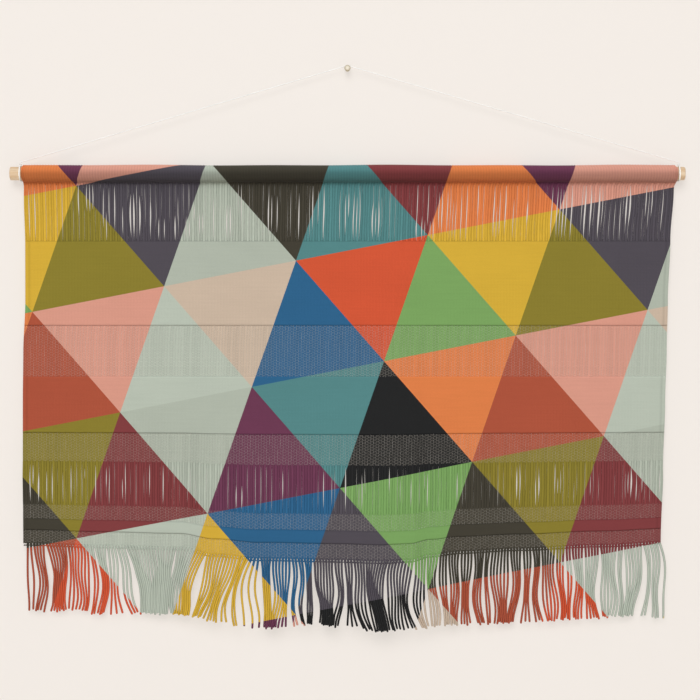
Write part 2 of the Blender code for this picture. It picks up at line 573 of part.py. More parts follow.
def smooth_route(route, steps):
    """Points on a Catmull-Rom curve through the route's own points, with that many steps in each stretch."""
    points = np.array(route) * MM
    padded = np.vstack([2 * points[0] - points[1], points, 2 * points[-1] - points[-2]])
    spans = np.maximum(np.linalg.norm(np.diff(padded, axis=0), axis=1), 1e-9)
    made = [points[0]]
    for k, count in enumerate(steps):
        before, start, end, after = padded[k : k + 4]
        d0, d1, d2 = spans[k : k + 3]
        leave = (start - before) / d0 - (end - before) / (d0 + d1) + (end - start) / d1
        arrive = (end - start) / d1 - (after - start) / (d1 + d2) + (after - end) / d2
        for step in range(1, count + 1):
            t = step / count
            made.append(
                (2 * t**3 - 3 * t**2 + 1) * start
                + (t**3 - 2 * t**2 + t) * d1 * leave
                + (3 * t**2 - 2 * t**3) * end
                + (t**3 - t**2) * d1 * arrive
            )
    return made


def cord(surface):
    """The hanging cord: a thin tube from one hitch up over the nail and down to the other."""
    places = smooth_route(CORD_ROUTE, CORD_STEPS)
    line = bpy.data.curves.new("hanging_cord", "CURVE")
    line.dimensions = "3D"
    line.bevel_depth = CORD_DIAMETER / 2
    line.bevel_resolution = CORD_SIDES_LEVEL
    line.use_fill_caps = True
    run = line.splines.new("POLY")
    run.points.add(len(places) - 1)
    for point, place in zip(run.points, places):
        point.co = (*place, 1.0)
    return object_of("hanging_cord", line, surface)


def hitch(name, across, surface):
    """Two turns of cord round the dowel as one flat ring, with its knot as a small ball on top."""
    inner = DOWEL_DIAMETER / 2 + CLEARANCE
    middle = inner + CORD_DIAMETER / 2
    form = bmesh.new()
    rim = []
    for turn in (np.arange(HITCH_SIDES) + 0.5) * 2 * math.pi / HITCH_SIDES:
        reach = (HITCH_WIDTH / 2) * math.cos(turn)
        rise = (CORD_DIAMETER / 2) * math.sin(turn)
        rim.append(form.verts.new((reach, 0.0, middle + rise)))
    face = form.faces.new(rim)
    bmesh.ops.spin(
        form,
        geom=[face] + list(face.edges) + list(face.verts),
        cent=(0.0, 0.0, 0.0),
        axis=(1.0, 0.0, 0.0),
        angle=2 * math.pi,
        steps=TURNED_STEPS,
        use_merge=True,
        use_duplicate=False,
    )
    bmesh.ops.remove_doubles(form, verts=form.verts, dist=1e-5)
    inside = [f for f in form.faces if len(f.verts) > 4]
    bmesh.ops.delete(form, geom=inside, context="FACES_ONLY")
    bmesh.ops.recalc_face_normals(form, faces=form.faces)
    mesh = bpy.data.meshes.new(name)
    form.to_mesh(mesh)
    form.free()
    ring = object_of(name, mesh, surface)
    ring.location = (across, -DOWEL_STANDOFF, -DOWEL_DROP)

    ball = bmesh.new()
    bmesh.ops.create_uvsphere(ball, u_segments=10, v_segments=7, radius=KNOT_RADIUS)
    ball_mesh = bpy.data.meshes.new(name + "_knot")
    ball.to_mesh(ball_mesh)
    ball.free()
    knot = object_of(name + "_knot", ball_mesh, surface)
    knot.location = (across, -DOWEL_STANDOFF, -DOWEL_DROP + inner + CORD_DIAMETER + KNOT_RISE)
    knot.hide_render = True
    knot.display_type = "WIRE"
    join = ring.modifiers.new("knot", "BOOLEAN")
    join.operation = "UNION"
    join.solver = "EXACT"
    join.object = knot
    return ring


def nail():
    """A turned nail: a plain shank from the mounting plane and a low domed head."""
    shank, head = NAIL_SHANK_DIAMETER / 2, NAIL_HEAD_DIAMETER / 2
    under_head = NAIL_SHANK_LENGTH + NAIL_HEAD_FLARE
    outline = [(0.0, 0.0), (shank, 0.0), (shank, NAIL_SHANK_LENGTH), (head, under_head)]
    dome_start = NAIL_SHANK_LENGTH + NAIL_HEAD_RIM
    dome_height = NAIL_HEAD_HEIGHT - NAIL_HEAD_RIM
    for turn in np.linspace(0.0, math.pi / 2, NAIL_DOME_STEPS):
        outline.append((head * math.cos(turn), dome_start + dome_height * math.sin(turn)))
    outline[-1] = (0.0, outline[-1][1])
    form = bmesh.new()
    course = [form.verts.new((radius, -reach, 0.0)) for radius, reach in outline]
    edges = [form.edges.new((a, b)) for a, b in zip(course, course[1:])]
    bmesh.ops.spin(
        form,
        geom=course + edges,
        cent=(0.0, 0.0, 0.0),
        axis=(0.0, 1.0, 0.0),
        angle=2 * math.pi,
        steps=TURNED_STEPS,
        use_duplicate=False,
    )
    bmesh.ops.remove_doubles(form, verts=form.verts, dist=1e-6)
    bmesh.ops.recalc_face_normals(form, faces=form.faces)
    mesh = bpy.data.meshes.new("nail")
    form.to_mesh(mesh)
    form.free()
    mesh.shade_smooth()
    mesh.set_sharp_from_angle(angle=math.radians(40))
    return object_of("nail", mesh, material("pale_brass", (0.72, 0.66, 0.52), 0.4, 0.6))


def main():
    clear_scene()
    dowel()
    cloth()
    fringe()
    cotton = material("cotton_cord", (0.86, 0.83, 0.77), 0.9)
    hitch("cord_hitch_left", HITCH_LEFT, cotton)
    hitch("cord_hitch_right", HITCH_RIGHT, cotton)
    cord(cotton)
    nail()


main()
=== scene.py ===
"""The looks of a woven wall hanging: banded cotton cloth, its fringe, dowel, cord and nail.

Metres, +Z up, X across the hanging, the front faces -Y. Places on the cloth are given as a place across and
a depth below the dowel's axis. Every yarn that shows as a yarn is a closed tube of its own.
"""

import math

import bpy
import numpy as np
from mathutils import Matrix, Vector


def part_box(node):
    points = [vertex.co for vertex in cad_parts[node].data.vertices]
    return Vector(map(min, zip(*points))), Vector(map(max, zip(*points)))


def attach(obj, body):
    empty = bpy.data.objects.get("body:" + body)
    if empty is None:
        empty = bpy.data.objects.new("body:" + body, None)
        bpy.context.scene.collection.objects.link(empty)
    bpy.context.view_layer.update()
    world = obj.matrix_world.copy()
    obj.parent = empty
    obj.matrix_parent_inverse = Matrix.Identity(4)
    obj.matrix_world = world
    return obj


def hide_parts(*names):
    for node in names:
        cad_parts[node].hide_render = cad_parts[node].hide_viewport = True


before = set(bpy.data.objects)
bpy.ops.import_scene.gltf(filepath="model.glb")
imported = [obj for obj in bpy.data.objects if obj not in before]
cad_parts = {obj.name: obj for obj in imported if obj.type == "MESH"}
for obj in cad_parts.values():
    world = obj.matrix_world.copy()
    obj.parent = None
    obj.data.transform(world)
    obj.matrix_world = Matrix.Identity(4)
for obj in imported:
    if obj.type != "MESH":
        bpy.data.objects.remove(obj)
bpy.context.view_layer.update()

MM = 0.001


def table(columns, *rows):
    """Rows of numbers, each under the columns' names."""
    return [dict(zip(columns.split(), row)) for row in rows]


# View: the photograph's frame is this wide where the cloth hangs
VIEW_WIDTH = 630 * MM
VIEW_ACROSS = 2.25 * MM
VIEW_HEIGHT = -253.8 * MM
VIEW_LENS = 100.0
VIEW_SENSOR = 36.0

# Dowel, from the frame
DOWEL_LOW, DOWEL_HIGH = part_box("dowel")
DOWEL_RADIUS = (DOWEL_HIGH.z - DOWEL_LOW.z) / 2
DOWEL_DROP = -(DOWEL_HIGH.z + DOWEL_LOW.z) / 2
DOWEL_STANDOFF = -(DOWEL_HIGH.y + DOWEL_LOW.y) / 2

# Cloth
CLEARANCE = 0.3 * MM
CLOTH_THICKNESS = 1.4 * MM
CLOTH_WIDTH = 589 * MM  # cut flat
HEM_DEPTH = 333 * MM
SAG_START = 183 * MM
BILLOW_START = 60 * MM
BILLOW_PER_SAG = 0.9
RIPPLE_DEPTH = 1.6 * MM
RIPPLE_LENGTH = 190 * MM
POCKET_RADIUS = DOWEL_RADIUS + CLEARANCE + CLOTH_THICKNESS / 2
CREASE_RADIUS = 1.2 * MM
CREASE_SETBACK = 1.5 * MM
PANEL_SETBACK = CREASE_SETBACK + CREASE_RADIUS
TURNING_END = 9.2 * MM
TURNING_STRAIGHT = 1.2 * MM

# Where each band of the weave starts, below the dowel's axis
POCKET_END = 8.2 * MM
PLAIN_1 = 60 * MM
GAUZE_1 = 137 * MM
PLAIN_2 = 182.5 * MM
GAUZE_2 = 233.5 * MM
OPEN_2 = 259.5 * MM
GAUZE_3 = 297 * MM
PLAIN_3 = 310.3 * MM
GAUZE_4 = 321 * MM

# Yarns
FRINGE_LEFT = -288 * MM
FRINGE_RIGHT = 280.5 * MM
STRAND_COUNT = 206
END_PITCH = 2.5 * MM
SELVEDGE_ENDS = 3  # closer together than the rest
SELVEDGE_PITCH = 1.45 * MM
PICK_PITCH = 1.18 * MM
RIB_PITCH = 1.35 * MM
YARN_SIDES = 6
STRAND_SPACING_LEAST = 1.72 * MM
SPREADING_ROUNDS = 60
FRINGE_SWAY = 3.2 * MM
BACK_PALENESS = 0.38  # how much undyed cotton shows on a yarn's back
GAUZE_PALE = 0.38  # how much of its back a pick shows in front
UPPER_SLIT_SHARE = 0.54  # how far the yarns beside a slit are pushed apart, as a share of its width
LOWER_SLIT_SHARE = 0.40

# The cloth's side edges, in millimetres: a row for each depth below the dowel's axis.
EDGES = table(
    "depth left right",
    (-7, -292.0, 294.6),
    (-4, -293.0, 296.6),
    (2, -293.1, 296.9),
    (7, -292.3, 296.3),
    (12, -291.6, 294.1),
    (60, -290.5, 291.0),
    (115, -290.4, 288.7),
    (160, -292.2, 287.7),
    (205, -292.6, 286.3),
    (268, -292.6, 284.3),
    (333, -292.2, 282.3),
)

# How far the hem sags below its left corner, in millimetres: a row for each place across.
SAG = table(
    "across sag",
    (-293, 0.0),
    (-223, 2.2),
    (-151, 3.6),
    (-119, 9.0),
    (-79, 12.6),
    (-7, 13.8),
    (29, 14.7),
    (56, 13.5),
    (74, 9.5),
    (101, 6.8),
    (155, 4.5),
    (227, 1.3),
    (300, -1.8),
)

# Where the fringe ends below the dowel's axis, in millimetres: a row for each place across.
TIPS = table(
    "across depth",
    (-288, 393.6),
    (-262, 395.0),
    (-246, 392.7),
    (-227, 397.2),
    (-190, 396.2),
    (-155, 396.8),
    (-137, 398.2),
    (-119, 403.2),
    (-83, 408.6),
    (-65, 408.3),
    (-47, 406.5),
    (-29, 404.3),
    (-11, 406.8),
    (7, 406.8),
    (25, 411.2),
    (61, 408.3),
    (97, 406.0),
    (133, 405.0),
    (169, 403.6),
    (205, 401.4),
    (223, 400.8),
    (241, 398.8),
    (268, 398.6),
    (281, 401.4),
)

# Groups of slits between warp yarns: where the first and last are across and how wide each is, in
# millimetres, and the shares of the band's height at which they start and end.
UPPER_SLITS = table(
    "start end count top bottom width",
    (-286.5, -282.7, 2, 0.05, 0.99, 1.6),
    (-242.2, -242.2, 1, 0.02, 0.56, 1.3),
    (-234.9, -228.6, 3, 0.01, 0.52, 1.9),
    (-220.1, -209.9, 3, 0.03, 0.84, 1.9),
    (-203.4, -203.4, 1, 0.40, 0.92, 1.3),
    (-194.9, -188.2, 3, 0.18, 0.92, 2.0),
    (-178.2, -178.2, 1, 0.30, 0.92, 1.3),
    (-170.6, -166.5, 2, 0.58, 0.99, 1.6),
    (-154.4, -154.4, 1, 0.56, 0.99, 1.8),
    (-146.2, -143.2, 2, 0.60, 0.99, 1.4),
    (-138.6, -138.6, 1, 0.33, 0.70, 1.4),
    (-134.0, -131.0, 2, 0.47, 0.92, 1.5),
    (-109.4, -105.8, 2, 0.37, 0.99, 2.0),
    (-72.0, -63.0, 3, 0.20, 0.90, 1.3),
    (-44.6, -44.6, 1, 0.17, 0.99, 1.6),
    (-31.0, -27.5, 2, 0.06, 0.80, 1.5),
    (-2.3, -2.3, 1, 0.17, 0.92, 1.6),
    (1.6, 1.6, 1, 0.17, 0.64, 1.4),
    (6.0, 9.4, 2, 0.16, 0.99, 2.0),
    (22.3, 28.7, 3, 0.33, 0.96, 1.9),
    (63.0, 78.0, 5, 0.60, 0.99, 1.4),
    (81.5, 89.6, 3, 0.12, 0.90, 1.5),
    (133.2, 136.6, 2, 0.03, 0.97, 1.7),
    (163.0, 163.0, 1, 0.30, 0.72, 1.6),
    (185.0, 201.0, 6, 0.06, 0.97, 1.6),
    (214.1, 214.1, 1, 0.01, 0.99, 2.6),
    (218.4, 218.4, 1, 0.17, 0.94, 1.5),
    (227.3, 227.3, 1, 0.01, 0.92, 1.5),
    (251.1, 254.8, 2, 0.06, 0.74, 1.9),
    (269.6, 273.6, 2, 0.02, 0.60, 1.3),
    (283.0, 283.0, 1, 0.05, 0.90, 1.2),
)
LOWER_SLITS = table(
    "start end count top bottom width",
    (-285.5, -285.5, 1, 0.01, 0.99, 1.7),
    (-282.2, -282.2, 1, 0.05, 0.60, 1.5),
    (-278.9, -278.9, 1, 0.28, 0.92, 1.4),
    (-271.7, -271.7, 1, 0.20, 0.99, 1.5),
    (-248.6, -248.6, 1, 0.05, 0.95, 1.5),
    (-236.3, -236.3, 1, 0.08, 0.46, 1.3),
    (-228.0, -228.0, 1, 0.01, 0.99, 1.9),
    (-216.3, -216.3, 1, 0.02, 0.61, 1.7),
    (-202.1, -202.1, 1, 0.38, 0.90, 1.3),
    (-165.0, -165.0, 1, 0.05, 0.95, 1.4),
    (-98.6, -95.0, 2, 0.43, 0.97, 1.7),
    (-57.0, -57.0, 1, 0.10, 0.75, 1.4),
    (-22.0, -22.0, 1, 0.10, 0.90, 1.4),
    (-1.8, -1.8, 1, 0.02, 0.90, 1.9),
    (12.2, 12.2, 1, 0.10, 0.99, 1.6),
    (46.4, 57.6, 2, 0.18, 0.92, 1.5),
    (71.6, 71.6, 1, 0.15, 0.98, 1.8),
    (99.0, 99.0, 1, 0.20, 0.90, 1.3),
    (152.6, 152.6, 1, 0.15, 0.85, 1.4),
    (172.0, 172.0, 1, 0.26, 0.80, 1.6),
    (190.0, 190.0, 1, 0.30, 0.80, 1.5),
    (217.8, 217.8, 1, 0.20, 0.85, 1.4),
    (252.5, 255.9, 2, 0.20, 0.80, 1.7),
    (265.0, 265.0, 1, 0.15, 0.85, 1.4),
    (281.0, 281.0, 1, 0.10, 0.90, 1.3),
)

# Where the fringe parts, in millimetres: the parting's place at the hem, how far it has moved sideways
# halfway down and at the tips, and how wide it stands open there.
PARTINGS = table(
    "root mid mid_open tip tip_open",
    (-286.0, 0.7, 1.6, 1.1, 2.6),
    (-283.2, 3.1, 1.5, 2.4, 1.5),
    (-272.2, 4.4, 5.8, 4.6, 2.9),
    (-254.3, 2.3, 1.5, 0.8, 0.4),
    (-232.6, 3.4, 1.8, 0.0, 3.4),
    (-228.8, 5.1, 3.4, 5.1, 4.2),
    (-218.4, 1.4, 1.8, 1.2, 2.6),
    (-209.3, 5.1, 2.0, 10.6, 5.4),
    (-200.4, 9.6, 4.5, 15.5, 5.4),
    (-173.9, 3.0, 1.2, -0.6, 0.6),
    (-153.2, -6.5, 3.2, -7.8, 3.7),
    (-127.0, -9.4, 6.0, -15.2, 5.3),
    (-97.4, -9.0, 2.6, -19.0, 2.4),
    (-91.9, -11.2, 3.6, -12.4, 3.4),
    (-87.8, -10.3, 4.2, -9.6, 4.8),
    (-83.7, -7.6, 3.2, -6.8, 3.6),
    (-77.6, 2.4, 2.6, 2.4, 3.2),
    (-67.6, -1.7, 2.6, -1.4, 2.4),
    (-51.4, 0.4, 3.1, -1.0, 4.4),
    (-44.5, 1.5, 2.6, 1.7, 3.0),
    (-41.0, 3.4, 3.2, 2.8, 3.0),
    (-31.4, 2.0, 4.6, 2.0, 7.6),
    (-11.8, 0.0, 2.6, -1.1, 2.6),
    (-3.9, 1.4, 3.0, 1.4, 5.0),
    (5.0, 1.4, 1.8, 6.2, 2.2),
    (15.0, 2.4, 1.4, 7.9, 1.4),
    (38.7, -5.5, 2.6, 1.4, 4.4),
    (60.8, -2.4, 3.2, 3.1, 2.8),
    (71.2, 0.0, 1.5, 2.3, 1.9),
    (81.4, -0.3, 2.4, 1.7, 3.1),
    (89.3, -0.2, 1.8, 2.8, 2.7),
    (100.4, -1.1, 1.8, 2.3, 2.0),
    (111.7, -0.2, 3.2, 0.0, 4.4),
    (123.4, -1.4, 2.4, 0.4, 2.8),
    (130.7, -1.8, 2.6, -0.5, 2.6),
    (145.4, -0.2, 2.4, -1.7, 2.4),
    (157.4, -0.7, 3.4, -2.8, 4.4),
    (166.7, 0.7, 2.6, 0.1, 2.4),
    (174.6, 0.2, 2.6, 2.8, 2.7),
    (187.5, 0.9, 2.0, 2.3, 2.6),
    (195.6, 0.0, 2.2, 0.4, 2.2),
    (202.8, 0.7, 1.8, 2.2, 2.6),
    (211.8, 0.5, 2.2, 2.4, 1.8),
    (227.6, 0.2, 4.0, -0.6, 2.4),
    (241.7, 0.5, 2.8, 0.0, 3.1),
    (249.2, -0.5, 3.6, -1.1, 5.2),
    (264.2, 2.3, 6.2, -3.4, 7.6),
    (269.5, 4.0, 1.5, 0.0, 3.8),
    (278.8, 5.0, 3.0, 0.5, 2.6),
)

# The cord's route from the left hitch over the nail to the right hitch, in millimetres.
CORD_ROUTE = [
    (-294.4, -9.5, -84.9),
    (-292.0, -9.5, -84.2),
    (-284.0, -9.4, -81.8),
    (-240.0, -8.8, -68.6),
    (-180.0, -8.0, -50.7),
    (-120.0, -7.2, -32.8),
    (-60.0, -6.3, -14.9),
    (-20.0, -5.8, -3.0),
    (-6.0, -5.6, 1.1),
    (-1.6, -5.5, 2.4),
    (0.0, -5.5, 2.7),
    (1.6, -5.5, 2.4),
    (6.0, -5.6, 1.1),
    (20.0, -5.8, -3.0),
    (60.0, -6.3, -14.7),
    (120.0, -7.2, -32.4),
    (180.0, -8.0, -50.0),
    (240.0, -8.8, -67.7),
    (287.0, -9.4, -81.5),
    (295.8, -9.5, -84.2),
    (298.2, -9.5, -84.9),
]
CORD_DIAMETER = 1.0 * MM
CORD_STEP = 0.6 * MM
CORD_TWIST = 2.6 * MM
HITCH_LEFT = -294.4 * MM
HITCH_RIGHT = 298.2 * MM

# Print: rows of plain triangles in these colours
ROW_HEIGHT = 104 * MM
ROW_START = -36 * MM
PRINT_SLANT = math.radians(11)
TRIANGLE_WIDTH = 121 * MM
PRINT_COLOURS = {
    "teal": "518284",
    "slate": "4e4a52",
    "pale green": "b1bbaf",
    "orange": "d67c48",
    "dark olive": "403d34",
    "blue": "2c5f87",
    "coral": "d09584",
    "maroon": "7c3c3e",
    "leaf green": "769f5e",
    "sand": "c2b09e",
    "plum": "673850",
    "mustard": "84792f",
    "vermilion": "c95436",
    "black": "222324",
    "grey green": "a9b2a6",
    "gold": "cca73a",
    "rust": "a6513b",
}
UNDYED_COLOUR = "d2cabd"


def make_camera():
    """The camera looks straight at the hanging along +Y, from lens / sensor times the view's width away."""
    lens = bpy.data.cameras.new("view")
    lens.lens = VIEW_LENS
    lens.sensor_width = VIEW_SENSOR
    camera = bpy.data.objects.new("view", lens)
    distance = VIEW_WIDTH * VIEW_LENS / VIEW_SENSOR
    camera.location = (VIEW_ACROSS, -DOWEL_STANDOFF - distance, VIEW_HEIGHT)
    camera.rotation_euler = (math.pi / 2, 0.0, 0.0)
    bpy.context.scene.collection.objects.link(camera)
    bpy.context.scene.camera = camera


def linear(code):
    """A colour written as six hexadecimal digits, as linear light: a straight line for the darkest tones and
    a power of 2.4 above them."""
    parts = np.array([int(code[k : k + 2], 16) for k in (0, 2, 4)]) / 255
    parts = np.where(parts <= 0.04045, parts / 12.92, ((parts + 0.055) / 1.055) ** 2.4)
    return (*parts.tolist(), 1.0)


def ease(share):
    """0 before 0, 1 after 1, and level at both ends: 3 s^2 - 2 s^3."""
    share = np.clip(share, 0.0, 1.0)
    return share * share * (3 - 2 * share)


def unit(vectors):
    """Vectors divided by their lengths."""
    return vectors / np.linalg.norm(vectors, axis=-1, keepdims=True)


def read_table(rows, along, column, at):
    """A column of a table, in metres, at any places along it, eased between its rows."""
    places = np.array([row[along] for row in rows]) * MM
    values = np.array([row[column] for row in rows]) * MM
    at = np.clip(at, places[0], places[-1])
    after = np.clip(np.searchsorted(places, at), 1, len(places) - 1)
    share = ease((at - places[after - 1]) / (places[after] - places[after - 1]))
    return values[after - 1] + share * (values[after] - values[after - 1])


def edges_at(depth):
    """The places across of the cloth's left and right edges at a depth."""
    return read_table(EDGES, "depth", "left", depth), read_table(EDGES, "depth", "right", depth)


def across_at(shares, depth):
    """Places at shares of the way across, from the left edge to the right one, at a depth."""
    left, right = edges_at(depth)
    return left + shares * (right - left)


def panel(across, depth):
    """The middle of the hanging cloth. It falls by its depth plus the sag times lowness squared, and comes
    forward by the eased fullness times the sag plus a sine ripple."""
    sag = read_table(SAG, "across", "sag", across)
    lowness = np.clip((depth - SAG_START) / (HEM_DEPTH - SAG_START), 0.0, None)
    fullness = ease((depth - BILLOW_START) / (HEM_DEPTH - BILLOW_START))
    ripple = RIPPLE_DEPTH * np.sin(2 * math.pi * across / RIPPLE_LENGTH)
    forward = fullness * (BILLOW_PER_SAG * np.maximum(sag, 0.0) + ripple)
    standoff = DOWEL_STANDOFF - PANEL_SETBACK + forward
    down = DOWEL_DROP + depth + sag * lowness**2
    return np.stack(np.broadcast_arrays(across, -standoff, -down), axis=-1)


def end_shares():
    """Each warp end's share of the way across: evenly spaced, with a few close together at each selvedge."""
    edge = (0.5 + np.arange(SELVEDGE_ENDS)) * SELVEDGE_PITCH / CLOTH_WIDTH
    first = edge[-1] + 0.5 * (SELVEDGE_PITCH + END_PITCH) / CLOTH_WIDTH
    count = int(round((1 - 2 * first) * CLOTH_WIDTH / END_PITCH)) + 1
    return np.concatenate([edge, np.linspace(first, 1 - first, count), 1 - edge[::-1]])


def alternating(count):
    """-1 and 1 in turn."""
    return np.where(np.arange(count) % 2, 1.0, -1.0)


def thinned(count, share):
    """Ones, with a smaller share first and last."""
    factors = np.ones(count)
    factors[[0, -1]] = share
    return factors


ENDS = end_shares()
BETWEEN_ENDS = (ENDS[:-1] + ENDS[1:]) / 2
FROM_SELVEDGE = np.minimum(np.arange(len(ENDS)), np.arange(len(ENDS))[::-1])  # in ends
AT_SELVEDGE = (FROM_SELVEDGE < SELVEDGE_ENDS)[:, None]
ALTERNATELY = alternating(len(ENDS))[:, None]
FRONT = np.array([0.0, -1.0, 0.0])


def flat_length(top, bottom):
    """The mean length of the warp ends between two depths, as they lie flat before hanging."""
    depth = np.linspace(top, bottom, 12)
    path = panel(across_at(ENDS[:, None], depth), depth)
    return float(np.linalg.norm(np.diff(path, axis=1), axis=-1).sum(axis=1).mean())


def noise_lines(rng, count, along, waves=3):
    """One smooth uneven line for each yarn, about -1 to 1: a sum of sines of random length and phase."""
    total = np.zeros((count, len(along)))
    for wave in range(1, waves + 1):
        turns = wave * rng.uniform(0.6, 1.4, (count, 1))
        phase = rng.uniform(0, 2 * math.pi, (count, 1))
        total += rng.uniform(0.3, 1.0, (count, 1)) / wave * np.sin(2 * math.pi * turns * along + phase)
    return total / waves


def make_piece(name, points, quads, back, thread, finish, slot, nodes):
    """One smooth mesh from whole arrays of points and four-sided faces. Each point keeps its place on the
    print (across, down, share of back) and on its yarn (along, from side to side, tone)."""
    place = np.column_stack([points[:, 0], -points[:, 2] - DOWEL_DROP, back])
    mesh = bpy.data.meshes.new(name)
    mesh.vertices.add(len(points))
    mesh.vertices.foreach_set("co", points.astype(np.float32).ravel())
    mesh.loops.add(quads.size)
    mesh.loops.foreach_set("vertex_index", quads.astype(np.int32).ravel())
    mesh.polygons.add(len(quads))
    mesh.polygons.foreach_set("loop_start", np.arange(0, quads.size, 4, dtype=np.int32))
    mesh.update(calc_edges=True)
    for title, values in (("place", place), ("thread", thread)):
        kept = mesh.attributes.new(title, "FLOAT_VECTOR", "POINT")
        kept.data.foreach_set("vector", values.astype(np.float32).ravel())
    mesh.shade_smooth()
    mesh.set_sharp_from_angle(angle=math.radians(60))
    mesh.materials.append(finish)
    piece = bpy.data.objects.new(name, mesh)
    bpy.context.scene.collection.objects.link(piece)
    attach(piece, "root")
    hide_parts(*nodes)
    return piece


def hung_band(name, arrays, finish, length):
    """A band of the cloth as one piece. Its flat length is not used."""
    piece = make_piece(name, *arrays, finish, "printed_cotton", ["cloth"])


def end_quads(rings):
    """Flat ends of tubes, as fans of four-sided faces over rings of an even number of points."""
    fans = [rings[:, [0, k, k + 1, k + 2]] for k in range(1, rings.shape[1] - 2, 2)]
    return np.concatenate(fans)


def tube_quads(count, steps, sides):
    """The faces of tubes whose points run round the rings, then along each tube, then from tube to tube."""
    index = np.arange(count * steps * sides).reshape(count, steps, sides)
    following = np.roll(index, -1, axis=2)
    around = [index[:, :-1], following[:, :-1], following[:, 1:], index[:, 1:]]
    quads = np.stack(around, axis=-1).reshape(-1, 4)
    return np.concatenate([quads, end_quads(index[:, 0, ::-1]), end_quads(index[:, -1])])


def tone_of(count):
    """A steady tone for each yarn, 0.94 to 1.06: the part after the point of a large multiple of a sine."""
    return 0.94 + 0.12 * np.modf(np.abs(np.sin(np.arange(count) * 12.9898) * 43758.5453))[0]


def yarn_arrays(
    paths, front, half_width, half_depth, sides=YARN_SIDES, plies=0.0, twist=1.0, tone=1.0, pale=0.0
):
    """Closed tubes along many paths of equally many points. A ring's point is the path's point plus
    cos(turn) x half width x side plus sin(turn) x half depth x front, where side = front x course. The
    plies swell the ring where cos(2 (turn - 2 pi x length / twist)) is high. Each point keeps a tone and a
    paleness."""
    count, steps = paths.shape[:2]
    course = unit(np.gradient(paths, axis=1))
    side = unit(np.cross(np.broadcast_to(front, paths.shape), course))
    facing = np.cross(course, side)
    lengths = np.cumsum(np.linalg.norm(np.diff(paths, axis=1), axis=-1), axis=1)
    lengths = np.pad(lengths, ((0, 0), (1, 0)))[..., None]
    turn = np.arange(sides) * 2 * math.pi / sides
    swell = 1 + plies * np.cos(2 * (turn - 2 * math.pi * lengths / twist))
    width = np.broadcast_to(half_width, (count, steps))[..., None] * np.cos(turn) * swell
    depth = np.broadcast_to(half_depth, (count, steps))[..., None] * np.sin(turn) * swell
    points = paths[:, :, None] + width[..., None] * side[:, :, None] + depth[..., None] * facing[:, :, None]
    pale = np.broadcast_to(pale, (count, steps))[..., None]
    back = np.maximum(np.clip(-np.sin(turn), 0.0, 1.0), pale)
    toned = (tone_of(count)[:, None] * np.broadcast_to(tone, (count, steps)))[..., None]
    thread = np.stack(np.broadcast_arrays(lengths, np.cos(turn), toned), axis=-1)
    return points.reshape(-1, 3), tube_quads(count, steps, sides), back.ravel(), thread.reshape(-1, 3)


def joined(*groups):
    """Several groups of tubes as one set of arrays."""
    first = np.cumsum([0] + [len(group[0]) for group in groups])
    shifted = [(points, quads + k, back, thread) for (points, quads, back, thread), k in zip(groups, first)]
    return [np.concatenate(part) for part in zip(*shifted)]


def shell_arrays(front, back, tone):
    """A closed thin body from two grids of points: the front's faces, the back's turned round, the rims."""
    rows, columns = front.shape[:2]
    face = np.arange(rows * columns).reshape(rows, columns)
    behind = face + rows * columns
    corners = [
        (face[:-1, :-1], face[1:, :-1], face[1:, 1:], face[:-1, 1:]),
        (behind[:-1, :-1], behind[:-1, 1:], behind[1:, 1:], behind[1:, :-1]),
        (face[:-1, 0], behind[:-1, 0], behind[1:, 0], face[1:, 0]),
        (face[:-1, -1], face[1:, -1], behind[1:, -1], behind[:-1, -1]),
        (face[0, :-1], face[0, 1:], behind[0, 1:], behind[0, :-1]),
        (face[-1, :-1], behind[-1, :-1], behind[-1, 1:], face[-1, 1:]),
    ]
    quads = np.concatenate([np.stack(four, axis=-1).reshape(-1, 4) for four in corners])
    points = np.concatenate([front.reshape(-1, 3), back.reshape(-1, 3)])
    on_back = np.repeat([0.0, 1.0], rows * columns)
    tones = np.tile(np.broadcast_to(tone, (rows, columns)).ravel(), 2)
    return points, quads, on_back, np.column_stack([points[:, 0], points[:, 2], tones])


